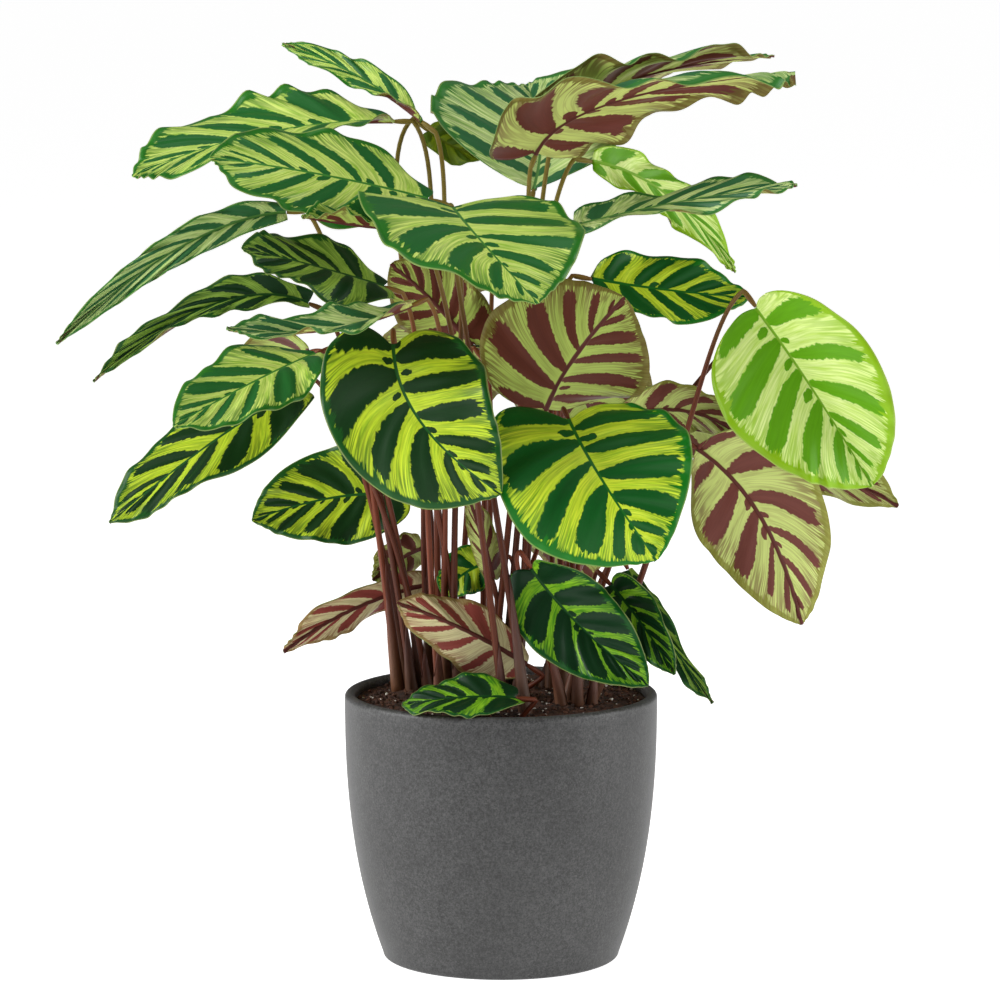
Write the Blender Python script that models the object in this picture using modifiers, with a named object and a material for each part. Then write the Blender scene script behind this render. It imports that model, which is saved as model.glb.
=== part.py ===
"""Potted calathea: a stone-grey round planter, its soil, and a clump of leafy shoots.

Lengths in the tables are millimetres, and Blender's own are metres. +Z is up, the origin is
the middle of the planter's flat foot, and the viewer stands on the -Y side.
"""

import math
from typing import NamedTuple

import bmesh
import bpy
from mathutils import Matrix, Vector, noise

MM = 0.001
OBJECT_NAME = "potted_calathea"
GAP = 0.3

# Planter
POT_HEIGHT = 189.0
POT_RADIUS = 110.0
FOOT_RADIUS = 82.5
POT_BELLY = 2.55
POT_WALL = 7.5
POT_FLOOR = 9.0
FOOT_ROUND = 3.0
POT_SIDES = 36
SHOULDER = 16.0
HEEL = 12.0
SHARP_ANGLE = math.radians(50.0)
TURN_MERGE = 0.00005

# Soil
SOIL_LEVEL = 183.0
SOIL_RINGS = (16.0, 34.0, 52.0, 70.0, 86.0)
SOIL_EDGE = 100.0
SOIL_MOUND = 3.0
SOIL_LUMP = 1.6
SOIL_LUMP_SIZE = 26.0

# Crown, the short stump of sheaths that a shoot's stalks grow from
CROWN_RADIUS = 10.0
CROWN_TAPER = 1.0
CROWN_DEPTH = 32.0
CROWN_PROUD = 4.0
CROWN_SIDES = 10
CROWN_ROUND = 2.5
STALK_RING = 5.0
HOLE_PROUD = 10.0

# Stalks
STALK_SINK = 9.0
STALK_FOOT = 2.8
STALK_NECK = 1.6
STALK_KNEE = 2.1
STALK_TIP = 1.25
TAPER_END = 1.3
TAPER_POWER = 0.7
STALK_WELD = 0.00002
KNEE_LENGTH = 14.0
KNEE_BEND = 1.2
STALK_STEPS = 5
BLADE_GAP = 0.5
RIB_CENTRE = 0.45

# Blades
WIDEST = 0.42
BASE_ROUND = 0.5
TIP_FALL = 2.1
TIP_ROUND = 0.75
TIP_SHARE = 0.036
TIP_REACH = 2.6
VEIN_SWEEP = 0.3
VEIN_BASE_SWEEP = 0.012
VEIN_STRAIGHT = 0.65
CURL_SHARE = 0.5
SIDE_SHIFT = 0.2
BLADE_THICKNESS = 0.8
RIB_THICKNESS = 2.4
RIB_FADE = 0.6
RIB_SHARE = 0.07
RIDGE_SHARE = 0.55
BIG_GRID = (9, 6)
SMALL_GRID = (7, 6)

# Lobes on both sides of the stalk's end: deeper on a leaf with more heart, none on a slim one
FLAT_HEART = 0.07
HEART_SWEEP = 0.35
LOBE_BACK = 0.05
HEART_LOBE = 0.3
LOBE_FADE = 7
LOBE_SPAN = 0.9
LOBE_ROUND = 0.8
SINUS = 0.08
SQUAT = 1.6


class Leaf(NamedTuple):
    """One leaf: three places on its midrib, where its upper side looks, and how it is bent.

    Heart says how broad its base is: 0 for a wedge, 0.07 for a round one, more for a heart.
    """

    base: tuple
    middle: tuple
    tip: tuple
    width: float
    face: tuple
    twist: float = 0.0
    fold: float = 12.0
    curl: float = -10.0
    wave: float = 5.0
    waves: float = 2.5
    phase: float = 0.0
    arrive: float = 0.12
    climb: float = 0.45
    lean: float = 0.12
    big: bool = False
    heart: float = 0.07
    heart: float = 0.07
    heart: float = 0.07
    heart: float = 0.07
    heart: float = 0.07
    heart: float = 0.07
    heart: float = 0.07
    heart: float = 0.07
    heart: float = 0.07
    heart: float = 0.07
    heart: float = 0.07
    heart: float = 0.07


class Shoot(NamedTuple):
    """A crown in the soil and the leaves whose stalks grow from it."""

    crown: tuple
    leaves: tuple


SHOOTS = (
    Shoot((-61.0, 30.0), (
        # Four that hang out to the left, the highest first
        Leaf((-150, 15, 525), (-224, 0, 501), (-307, -30, 437), 28, (0.41, -0.82, 0.39), fold=40),
        Leaf((-134, 0, 463), (-200, -18, 463), (-280, -50, 413), 27, (0.25, -0.71, 0.66), twist=20,
             fold=38, heart=0.1),
        Leaf((-128, -30, 431), (-170, -63, 414), (-221, -105, 389), 74, (-0.37, -0.72, 0.59),
             twist=-35, fold=9, heart=0.01),
        Leaf((-141, -10, 404), (-203, -35, 367), (-270, -50, 315), 66, (0.2, -0.5, 0.8)),
        # Behind
        Leaf((-135, 50, 425), (-165, 88, 410), (-190, 120, 375), 70, (0, 0.5, 0.85)),
    )),
    Shoot((-38.0, 54.0), (
        # The broad one at the upper left, the slim twisted one over it, a small bright one,
        # a long one at half height and two small low ones
        Leaf((-76, 40, 588), (-169, 26, 579), (-256, 2, 551), 94, (-0.07, -0.36, 0.93), twist=-23,
             fold=16, big=True, heart=0),
        Leaf((-55, 38, 588), (-104, 70, 619), (-156, 98, 639), 23, (-0.18, -0.63, 0.76),
             twist=-106, fold=24, heart=0),
        Leaf((-51, 84, 578), (-34, 86, 567), (-12, 84, 560), 26, (0, -0.9, 0.4)),
        Leaf((-68, 55, 321), (-121, 60, 318), (-177, 50, 303), 72, (0, -0.9, 0.4)),
        Leaf((-54, 60, 256), (-108, 52, 238), (-155, 40, 210), 30, (0, 0.9, 0.4)),
        Leaf((-57, 62, 282), (-74, 67, 272), (-92, 64, 258), 32, (0, 0.9, 0.4)),
        # Behind
        Leaf((-26, 84, 425), (-40, 136, 405), (-46, 176, 345), 105, (0, 0.8, 0.5), big=True),
    )),
    Shoot((-34.0, 2.0), (
        # The broad one in front on the left, two striped ones over it, and one at the upper left
        Leaf((-73, -90, 443), (-54, -133, 395), (0, -140, 347), 112, (-0.21, -0.93, 0.3), twist=48,
             fold=8, big=True, heart=0.14),
        Leaf((-80, -38, 478), (-127, -65, 494), (-174, -104, 509), 60, (-0.06, -0.69, 0.73),
             twist=-18, fold=5, heart=0.09),
        Leaf((-62, -74, 468), (-119, -113, 455), (-182, -152, 459), 37, (-0.06, -0.4, 0.92),
             twist=-44, fold=26, heart=0.03),
        Leaf((-50, -20, 537), (-122, -48, 555), (-196, -90, 569), 80, (0, -0.75, 0.66), twist=-31,
             fold=4, big=True),
    )),
    Shoot((0.0, 45.0), (
        # The broad one at the top, and two small ones among the stalks
        Leaf((23, 24, 541), (28, 96, 577), (18, 160, 608), 168, (-0.06, -0.4, 0.91), wave=3,
             fold=30, arrive=0.06, big=True, heart=0.015),
        Leaf((-20, 12, 432), (-48, 14, 463), (-77, 12, 489), 60, (0, 1, 0.2)),
        Leaf((-8, 18, 278), (-27, 17, 269), (-41, 15, 254), 34, (0, -0.9, 0.4)),
        # Behind
        Leaf((-10, 70, 500), (-20, 130, 495), (-25, 190, 450), 110, (0, 0.5, 0.8), big=True),
        Leaf((40, 80, 305), (50, 118, 278), (60, 150, 240), 64, (0, 0.8, 0.5)),
    )),
    Shoot((2.0, -10.0), (
        # Two big ones at the upper right, one hanging behind them, a broad one seen from
        # below, the young one that is still rolled, and a pink one seen from below
        Leaf((24, -15, 568), (76, -50, 605), (199, -70, 626), 96, (0, 0.36, 0.93), twist=26,
             fold=4, big=True, heart=0.12),
        Leaf((38, 1, 578), (86, -11, 617), (188, -17, 635), 84, (0, 0.3, 0.95), twist=22, big=True,
             heart=0.18),
        Leaf((64, 5, 561), (118, 32, 535), (166, 52, 480), 36, (0, -0.8, 0.6), heart=0.03),
        Leaf((31, -22, 391), (51, -38, 429), (85, -50, 471), 126, (-0.07, 0.97, 0.24), twist=-29,
             fold=24, big=True, heart=0.05),
        Leaf((-6, -7, 270), (-13, -11, 299), (-22, -17, 326), 34, (0, 1, 0), fold=60),
        Leaf((17, -38, 214), (-27, -50, 241), (-72, -56, 260), 50, (-0.3, 0.9, -0.5), fold=20,
             heart=0.03),
    )),
    Shoot((40.0, 38.0), (
        # A slim one, a broader one under it, a long low one and a small one, all to the right
        Leaf((51, 0, 517), (130, -35, 537), (201, -70, 549), 40, (0, -0.5, 0.9)),
        Leaf((64, 10, 479), (118, 20, 470), (175, 30, 464), 56, (0, -0.8, 0.6), heart=0),
        Leaf((109, 24, 377), (198, 40, 354), (281, 30, 316), 58, (0, 0.9, 0.4)),
        Leaf((83, 0, 382), (133, 6, 386), (177, 14, 360), 36, (0, 0.9, 0.4)),
        # Behind
        Leaf((44, 75, 395), (62, 130, 380), (76, 170, 320), 100, (0, 0.8, 0.5), big=True),
        Leaf((182, 76, 438), (212, 106, 415), (236, 130, 370), 76, (0, 0.7, 0.7)),
    )),
    Shoot((52.0, -24.0), (
        # The light one at the right, the broad one in front, one hanging at the lower right,
        # and three narrow low ones
        Leaf((174, -60, 465), (214, -71, 408), (254, -70, 343), 124, (-0.26, -0.96, 0.05),
             twist=-23, fold=35, lean=0.5, big=True, heart=0.02),
        Leaf((46, -80, 391), (68, -120, 354), (105, -126, 300), 136, (0, -0.94, 0.35), twist=38,
             fold=6, climb=0.75, big=True, heart=0.18),
        Leaf((137, -25, 364), (181, -22, 315), (211, -5, 237), 94, (0.19, 0.98, 0.11), twist=-52,
             fold=14, big=True, heart=0),
        Leaf((76, -38, 270), (95, -51, 248), (120, -66, 212), 37, (-0.22, -0.97, 0.14), fold=26),
        Leaf((89, 5, 274), (114, -1, 231), (149, -10, 182), 24, (-0.47, -0.88, 0), fold=28),
        Leaf((21, -50, 283), (55, -58, 244), (101, -82, 207), 68, (-0.28, -0.94, 0.19), twist=-42,
             fold=25),
    )),
    Shoot((12.0, -66.0), (
        # The broad one on top in front, a small one beside it, and one lying on the soil
        Leaf((-33, -60, 534), (-14, -135, 517), (24, -195, 480), 152, (0.17, -0.4, 0.9), big=True,
             heart=0.12),
        Leaf((-69, -66, 520), (-102, -82, 524), (-134, -100, 530), 34, (0, -0.35, 0.94), fold=50),
        Leaf((10, -84, 199), (-30, -90, 200), (-68, -82, 193), 42, (0, -0.5, 0.87), wave=3),
    )),
)

CLAY_GREY = (0.072, 0.071, 0.069, 1.0)
SOIL_BROWN = (0.022, 0.014, 0.010, 1.0)
STALK_MAROON = (0.085, 0.028, 0.024, 1.0)
LEAF_GREEN = (0.085, 0.190, 0.022, 1.0)


def clear_scene():
    """Remove every object that the file starts with."""
    for old in list(bpy.data.objects):
        bpy.data.objects.remove(old, do_unlink=True)


def make_collection(name):
    """Add a collection to the scene."""
    collection = bpy.data.collections.new(name)
    bpy.context.scene.collection.children.link(collection)
    return collection


def make_material(name, colour, roughness):
    """A plain non-metal finish."""
    material = bpy.data.materials.new(name)
    material.use_nodes = True
    shader = material.node_tree.nodes["Principled BSDF"]
    shader.inputs["Base Color"].default_value = colour
    shader.inputs["Roughness"].default_value = roughness
    shader.inputs["Metallic"].default_value = 0.0
    material.diffuse_color = colour
    return material


def add_object(name, mesh, collection, material=None):
    """Put a mesh into the scene as a named object."""
    item = bpy.data.objects.new(name, mesh)
    collection.objects.link(item)
    if material is not None:
        mesh.materials.clear()
        mesh.materials.append(material)
    return item


def evaluated_mesh(item):
    """The object's mesh after its modifiers, as new data."""
    bpy.context.view_layer.update()
    depsgraph = bpy.context.evaluated_depsgraph_get()
    return bpy.data.meshes.new_from_object(item.evaluated_get(depsgraph))


def apply_boolean(item, operation, collection):
    """Join or cut an object with a whole collection, which is emptied afterwards."""
    modifier = item.modifiers.new("boolean", "BOOLEAN")
    modifier.operation = operation
    modifier.operand_type = "COLLECTION"
    modifier.collection = collection
    modifier.solver = "EXACT"
    joined = evaluated_mesh(item)
    item.modifiers.remove(modifier)
    old = item.data
    item.data = joined
    bpy.data.meshes.remove(old)
    for tool in list(collection.objects):
        bpy.data.objects.remove(tool, do_unlink=True)


def pot_outside(z):
    """The planter's outer radius at height z."""
    return POT_RADIUS - (POT_RADIUS - FOOT_RADIUS) * (1.0 - z / POT_HEIGHT) ** POT_BELLY


def arc(centre, radius, start, end, steps):
    """Points of a round corner, as (radius from the axis, height); angles in degrees."""
    points = []
    for step in range(steps + 1):
        angle = math.radians(start + (end - start) * step / steps)
        points.append((centre[0] + radius * math.cos(angle), centre[1] + radius * math.sin(angle)))
    return points


def spread(first, last, steps):
    """Evenly spread values from first to last."""
    return [first + (last - first) * step / steps for step in range(steps + 1)]


def turned_mesh(name, profile, sides):
    """Turn a profile that starts and ends on the axis and runs down its outer side."""
    outline = bmesh.new()
    corners = [outline.verts.new((radius * MM, 0.0, z * MM)) for radius, z in profile]
    for first, second in zip(corners, corners[1:]):
        outline.edges.new((first, second))
    mesh = bpy.data.meshes.new(name)
    outline.to_mesh(mesh)
    outline.free()
    item = bpy.data.objects.new(name, mesh)
    bpy.context.scene.collection.objects.link(item)
    screw = item.modifiers.new("turn", "SCREW")
    screw.steps = sides
    screw.render_steps = sides
    screw.use_merge_vertices = True
    screw.merge_threshold = TURN_MERGE
    turned = evaluated_mesh(item)
    bpy.data.objects.remove(item, do_unlink=True)
    bpy.data.meshes.remove(mesh)
    return turned


def make_pot(collection, material):
    """The planter: a bellied wall with a rounded lip, a small round at its flat foot."""
    lip = POT_WALL / 2.0
    lip_centre = (POT_RADIUS - lip, POT_HEIGHT - lip)
    shoulder = POT_HEIGHT - SHOULDER
    foot_corner = (pot_outside(FOOT_ROUND) - FOOT_ROUND, FOOT_ROUND)
    inside = [(pot_outside(z) - POT_WALL, z) for z in spread(POT_FLOOR, shoulder, 4)]
    outside = [(pot_outside(z), z) for z in spread(shoulder, HEEL, 6)]
    profile = [(0.0, POT_FLOOR)] + inside + arc(lip_centre, lip, 180.0, 0.0, 5) + outside
    profile += arc(foot_corner, FOOT_ROUND, 0.0, -90.0, 2) + [(0.0, 0.0)]
    mesh = turned_mesh("pot", profile, POT_SIDES)
    mesh.shade_smooth()
    mesh.set_sharp_from_angle(angle=SHARP_ANGLE)
    return add_object("pot", mesh, collection, material)


def soil_height(x, y):
    """Height of the lumpy soil surface."""
    place = Vector((x / SOIL_LUMP_SIZE, y / SOIL_LUMP_SIZE, 0.0))
    share = min(1.0, math.hypot(x, y) / SOIL_EDGE)
    return SOIL_LEVEL + SOIL_MOUND * (1.0 - share * share) + SOIL_LUMP * noise.noise(place)


def crown_top(shoot):
    """Height of a crown's top, just proud of the soil there."""
    return soil_height(*shoot.crown) + CROWN_PROUD


def make_soil(collection, material, cutters):
    """The soil: it fills the planter to just under the lip, with a hole for each crown."""
    wall = POT_WALL + GAP
    profile = [(0.0, SOIL_LEVEL)] + [(radius, SOIL_LEVEL) for radius in SOIL_RINGS]
    profile += [(pot_outside(z) - wall, z) for z in spread(SOIL_LEVEL, POT_FLOOR + GAP, 4)]
    profile += [(0.0, POT_FLOOR + GAP)]
    mesh = turned_mesh("soil", profile, POT_SIDES)
    edge = pot_outside(SOIL_LEVEL) - wall
    lumpy = bmesh.new()
    lumpy.from_mesh(mesh)
    for vertex in lumpy.verts:
        x, y = vertex.co.x / MM, vertex.co.y / MM
        on_top = vertex.co.z > (SOIL_LEVEL - 1.0) * MM
        if on_top and math.hypot(x, y) < edge - 1.0:
            vertex.co.z = soil_height(x, y) * MM
    bmesh.ops.triangulate(lumpy, faces=lumpy.faces)
    lumpy.to_mesh(mesh)
    lumpy.free()
    soil = add_object("soil", mesh, collection, material)
    for shoot in SHOOTS:
        depth = CROWN_DEPTH + GAP + HOLE_PROUD
        hole = bmesh.new()
        bmesh.ops.create_cone(hole, cap_ends=True, segments=CROWN_SIDES, depth=depth * MM,
                              radius1=(CROWN_RADIUS + GAP) * MM, radius2=(CROWN_RADIUS + GAP) * MM)
        middle = crown_top(shoot) - CROWN_DEPTH - GAP + depth / 2.0
        bmesh.ops.translate(hole, verts=hole.verts,
                            vec=Vector((shoot.crown[0], shoot.crown[1], middle)) * MM)
        cutter_mesh = bpy.data.meshes.new("crown_hole")
        hole.to_mesh(cutter_mesh)
        hole.free()
        cutter = add_object("crown_hole", cutter_mesh, cutters)
        cutter.hide_render = True
        cutter.display_type = "WIRE"
    apply_boolean(soil, "DIFFERENCE", cutters)
    return soil


class Rib:
    """A leaf's midrib: a parabola through its three places, with a frame carried along it."""

    def __init__(self, leaf):
        self.leaf = leaf
        self.base = Vector(leaf.base)
        self.tip = Vector(leaf.tip)
        self.handle = 2.0 * Vector(leaf.middle) - (self.base + self.tip) / 2.0
        self.length = (Vector(leaf.middle) - self.base).length
        self.length += (self.tip - Vector(leaf.middle)).length
        self.middle_along = self.along(0.5)
        face = Vector(leaf.face)
        self.middle_up = (face - face.dot(self.middle_along) * self.middle_along).normalized()

    def along(self, t):
        """Direction of the midrib."""
        step = (self.handle - self.base) * (1.0 - t) + (self.tip - self.handle) * t
        return step.normalized()

    def point(self, t):
        """Place on the midrib."""
        first = self.base.lerp(self.handle, t)
        second = self.handle.lerp(self.tip, t)
        return first.lerp(second, t)

    def up(self, t):
        """Direction out of the upper side at the midrib."""
        along = self.along(t)
        carried = self.middle_along.rotation_difference(along) @ self.middle_up
        turn = Matrix.Rotation(math.radians(self.leaf.twist * (t - 0.5)), 3, along)
        return turn @ carried


def half_width(leaf, x):
    """Outline of a blade: its half width as a share of the widest, x from base to tip."""
    if x < WIDEST:
        rise = max(0.0, x + leaf.heart) / (WIDEST + leaf.heart)
        return math.sin(0.5 * math.pi * rise ** BASE_ROUND)
    fall = ((x - WIDEST) / (1.0 - WIDEST)) ** TIP_FALL
    return max(TIP_SHARE, (1.0 - min(1.0, fall)) ** TIP_ROUND)


def blade_point(rib, q, r):
    """Point of the upper side: q says where its side vein leaves the midrib, r how far out."""
    leaf = rib.leaf
    out = abs(r)
    side = 1.0 if r >= 0.0 else -1.0
    squat = min(1.0, SQUAT * leaf.width / rib.length) ** 2
    flat = min(1.0, leaf.heart / FLAT_HEART)
    deeper = max(0.0, leaf.heart - FLAT_HEART)
    back = squat * (VEIN_BASE_SWEEP * flat + HEART_SWEEP * deeper)
    margin = min(1.0, q - back * (1.0 - q) + VEIN_SWEEP * math.sin(math.pi * q))
    x = q + (margin - q) * (VEIN_STRAIGHT * out + (1.0 - VEIN_STRAIGHT) * out * out)
    beside = LOBE_SPAN * max(0.0, out - SINUS) / (1.0 - SINUS)
    lobe = math.sin(math.pi * min(1.0, beside)) ** LOBE_ROUND * (1.0 - q) ** LOBE_FADE
    x -= squat * (LOBE_BACK * flat + HEART_LOBE * deeper) * lobe
    fullness = half_width(leaf, margin)
    reach = max(TIP_REACH, 0.5 * leaf.width * fullness) * out
    slope = math.radians(leaf.fold + CURL_SHARE * leaf.curl * out)
    ripple = math.sin(2.0 * math.pi * (leaf.waves * q + leaf.phase + SIDE_SHIFT * side))
    lift = reach * math.sin(slope) + leaf.wave * out * out * fullness * ripple
    up = rib.up(x)
    across = up.cross(rib.along(x))
    return rib.point(x) + across * (side * reach * math.cos(slope)) + up * lift


def make_blade(name, leaf, collection, material):
    """A blade: a grid laid on the leaf's surface, with a thicker midrib underneath."""
    rib = Rib(leaf)
    rows, columns = BIG_GRID if leaf.big else SMALL_GRID
    sheet = bmesh.new()
    bmesh.ops.create_grid(sheet, x_segments=rows, y_segments=columns, size=1.0)
    weights = sheet.verts.layers.deform.verify()
    for vertex in sheet.verts:
        q = 0.5 * (vertex.co.x + 1.0)
        r = vertex.co.y
        if 0.1 < abs(r) < 0.9:
            r = math.copysign(RIB_SHARE if abs(r) < 0.5 else RIDGE_SHARE, r)
        on_rib = 1.0 - RIB_FADE * q if abs(r) < 0.01 else 0.0
        vertex[weights][0] = on_rib
        vertex.co = blade_point(rib, q, r) * MM
    bmesh.ops.triangulate(sheet, faces=sheet.faces)
    mesh = bpy.data.meshes.new(name)
    sheet.to_mesh(mesh)
    sheet.free()
    mesh.shade_smooth()
    blade = add_object(name, mesh, collection, material)
    blade.vertex_groups.new(name="rib")
    shell = blade.modifiers.new("thickness", "SOLIDIFY")
    shell.thickness = RIB_THICKNESS * MM
    shell.offset = -1.0
    shell.vertex_group = "rib"
    shell.thickness_vertex_group = BLADE_THICKNESS / RIB_THICKNESS
    return blade


def stalk_route(leaf, root, lean_to):
    """Points of a stalk, in millimetres, with a radius for each."""
    rib = Rib(leaf)
    along = rib.along(0.0)
    end = rib.point(0.0) - rib.up(0.0) * (RIB_CENTRE * RIB_THICKNESS) - along * BLADE_GAP
    height = (end - root).length
    outward = Vector((end.x - lean_to[0], end.y - lean_to[1], 0.0))
    if outward.length > 1.0:
        outward.normalize()
    start_handle = root + (Vector((0.0, 0.0, 1.0)) + outward * leaf.lean) * (leaf.climb * height)
    knee = end - along * KNEE_LENGTH
    approach = (along + Vector((0.0, 0.0, KNEE_BEND))).normalized()
    end_handle = knee - approach * (leaf.arrive * height)
    stops = spread(0.0, 1.0, STALK_STEPS)
    route = []
    for t in stops:
        s = 1.0 - t
        place = (root * s ** 3 + start_handle * (3.0 * s * s * t)
                 + end_handle * (3.0 * s * t * t) + knee * t ** 3)
        radius = STALK_FOOT + (STALK_NECK - STALK_FOOT) * min(1.0, TAPER_END * t) ** TAPER_POWER
        route.append((place, radius))
    route.append((end - along * (0.5 * KNEE_LENGTH), STALK_KNEE))
    route.append((end, STALK_TIP))
    return route


def make_stalk_mesh(name, route):
    """A tapered stalk as a closed mesh."""
    curve = bpy.data.curves.new(name, "CURVE")
    curve.dimensions = "3D"
    curve.bevel_depth = MM
    curve.bevel_resolution = 1
    curve.use_fill_caps = True
    spline = curve.splines.new("POLY")
    spline.points.add(len(route) - 1)
    for point, (place, radius) in zip(spline.points, route):
        point.co = (place.x * MM, place.y * MM, place.z * MM, 1.0)
        point.radius = radius
    item = bpy.data.objects.new(name, curve)
    bpy.context.scene.collection.objects.link(item)
    mesh = evaluated_mesh(item)
    bpy.data.objects.remove(item, do_unlink=True)
    bpy.data.curves.remove(curve)
    welded = bmesh.new()
    welded.from_mesh(mesh)
    bmesh.ops.remove_doubles(welded, verts=welded.verts, dist=STALK_WELD)
    bmesh.ops.recalc_face_normals(welded, faces=welded.faces)
    welded.to_mesh(mesh)
    welded.free()
    return mesh


def make_shoot(name, shoot, collection, material, joins):
    """A crown in its hole in the soil, with its stalks joined to it."""
    crown = bmesh.new()
    bmesh.ops.create_cone(crown, cap_ends=True, segments=CROWN_SIDES, depth=CROWN_DEPTH * MM,
                          radius1=(CROWN_RADIUS - CROWN_TAPER) * MM, radius2=CROWN_RADIUS * MM)
    top = crown_top(shoot)
    middle = top - CROWN_DEPTH / 2.0
    bmesh.ops.translate(crown, verts=crown.verts,
                        vec=Vector((shoot.crown[0], shoot.crown[1], middle)) * MM)
    top_edges = [edge for edge in crown.edges
                 if all(v.co.z > (top - 0.1) * MM for v in edge.verts)]
    bmesh.ops.bevel(crown, geom=top_edges, offset=CROWN_ROUND * MM, segments=2, profile=0.5,
                    affect="EDGES", material=-1)
    mesh = bpy.data.meshes.new(name)
    crown.to_mesh(mesh)
    crown.free()
    item = add_object(name, mesh, collection, material)
    for leaf in shoot.leaves:
        outward = Vector((leaf.base[0] - shoot.crown[0], leaf.base[1] - shoot.crown[1], 0.0))
        outward = outward.normalized() * STALK_RING
        root = Vector((shoot.crown[0], shoot.crown[1], top - STALK_SINK)) + outward
        stalk = make_stalk_mesh("stalk", stalk_route(leaf, root, shoot.crown))
        add_object("stalk", stalk, joins)
    apply_boolean(item, "UNION", joins)
    item.data.materials.clear()
    item.data.materials.append(material)
    item.data.shade_smooth()
    item.data.set_sharp_from_angle(angle=SHARP_ANGLE)
    return item


def main():
    """Build the planter, the soil, the shoots and their blades."""
    clear_scene()
    parts = make_collection(OBJECT_NAME)
    cutters = make_collection("cutters")
    joins = make_collection("joined_stalks")
    clay = make_material("planter_clay", CLAY_GREY, 0.75)
    earth = make_material("soil", SOIL_BROWN, 0.95)
    stalk_skin = make_material("stalk_skin", STALK_MAROON, 0.45)
    leaf_skin = make_material("leaf_skin", LEAF_GREEN, 0.4)
    make_pot(parts, clay)
    make_soil(parts, earth, cutters)
    for number, shoot in enumerate(SHOOTS, start=1):
        make_shoot(f"shoot_{number}", shoot, parts, stalk_skin, joins)
        for place, leaf in enumerate(shoot.leaves, start=1):
            make_blade(f"blade_{number}_{place}", leaf, parts, leaf_skin)


main()
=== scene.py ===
"""Looks of the potted calathea: patterned blades, stalks, soil and the stone-grey planter.

Lengths in the classes are millimetres unless a name ends in _m. +Z is up, the origin is the
middle of the planter's foot, and the viewer stands on the -Y side.
"""

import logging
import math
import random
from dataclasses import dataclass, replace
from enum import Enum
from typing import Any, Callable, Iterable, Sequence, Union

import bmesh
import bpy
from mathutils import Matrix, Vector, noise


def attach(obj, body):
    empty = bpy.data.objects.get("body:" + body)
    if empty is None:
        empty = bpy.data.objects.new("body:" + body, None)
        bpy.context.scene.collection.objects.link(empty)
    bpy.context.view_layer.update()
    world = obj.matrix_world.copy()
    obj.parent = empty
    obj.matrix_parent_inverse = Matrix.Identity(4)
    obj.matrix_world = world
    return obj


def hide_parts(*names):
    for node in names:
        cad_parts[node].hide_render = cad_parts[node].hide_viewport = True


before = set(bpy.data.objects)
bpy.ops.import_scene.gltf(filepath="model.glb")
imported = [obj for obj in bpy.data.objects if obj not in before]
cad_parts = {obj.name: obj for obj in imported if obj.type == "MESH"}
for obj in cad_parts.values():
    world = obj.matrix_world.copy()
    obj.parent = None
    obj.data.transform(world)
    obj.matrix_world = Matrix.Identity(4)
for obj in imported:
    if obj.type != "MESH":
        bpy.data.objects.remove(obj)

LOG = logging.getLogger("calathea")
MM = 0.001
WELD_M = 0.00001
BODY = "root"
Triple = tuple[float, float, float]
Colour = tuple[float, float, float, float]
Station = tuple[Vector, float]
UP = Vector((0.0, 0.0, 1.0))


def tint(red: int, green: int, blue: int) -> Colour:
    """Turn a colour as a paint chart gives it, 0 to 255, into a shader's linear colour.

    Args:
        red: Red, 0 to 255.
        green: Green, 0 to 255.
        blue: Blue, 0 to 255.

    Returns:
        The linear colour with full alpha.
    """
    linear = []
    for part in (red, green, blue):
        share = part / 255.0
        linear.append(share / 12.92 if share <= 0.04045 else ((share + 0.055) / 1.055) ** 2.4)
    return linear[0], linear[1], linear[2], 1.0


def spread(first: float, last: float, steps: int) -> list[float]:
    """Return steps + 1 evenly spread values from first to last."""
    return [first + (last - first) * step / steps for step in range(steps + 1)]


def ramp(value: float, low: float, high: float) -> float:
    """Return how far value has come from low to high, smoothly, from 0 to 1."""
    share = min(1.0, max(0.0, (value - low) / (high - low)))
    return share * share * (3.0 - 2.0 * share)


Value = Union["Signal", float, tuple]


def worked(operation: str, swapped: bool = False) -> Callable[..., "Signal"]:
    """Make a method that puts a signal, and at most one other value, through a Math node.

    Args:
        operation: The node's operation.
        swapped: Whether the other value comes first.

    Returns:
        The method.
    """
    def method(self: "Signal", *others: Value) -> "Signal":
        """Return the result of the operation."""
        values = (*others, self) if swapped else (self, *others)
        return self.graph.maths(operation, *values)
    return method


class Signal:
    """A shader socket that takes part in Python arithmetic."""

    def __init__(self, graph: "Graph", socket: bpy.types.NodeSocket) -> None:
        """Wrap a socket.

        Args:
            graph: The material's graph that the socket is in.
            socket: The output socket.
        """
        self.graph = graph
        self.socket = socket

    __add__ = __radd__ = worked("ADD")
    __sub__ = worked("SUBTRACT")
    __rsub__ = worked("SUBTRACT", swapped=True)
    __mul__ = __rmul__ = worked("MULTIPLY")
    __truediv__ = worked("DIVIDE")
    __pow__ = worked("POWER")
    __lt__ = worked("LESS_THAN")
    __abs__ = worked("ABSOLUTE")
    floor = worked("FLOOR")
    most = worked("MAXIMUM")
    least = worked("MINIMUM")

    def rise(self, low: Value, high: Value) -> "Signal":
        """Go smoothly from 0 to 1 as self goes from low to high."""
        made = self.graph.node("ShaderNodeMapRange", {"interpolation_type": "SMOOTHSTEP"},
                               {0: self, 1: low, 2: high, 3: 0.0, 4: 1.0})
        return Signal(self.graph, made.outputs[0])


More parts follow.
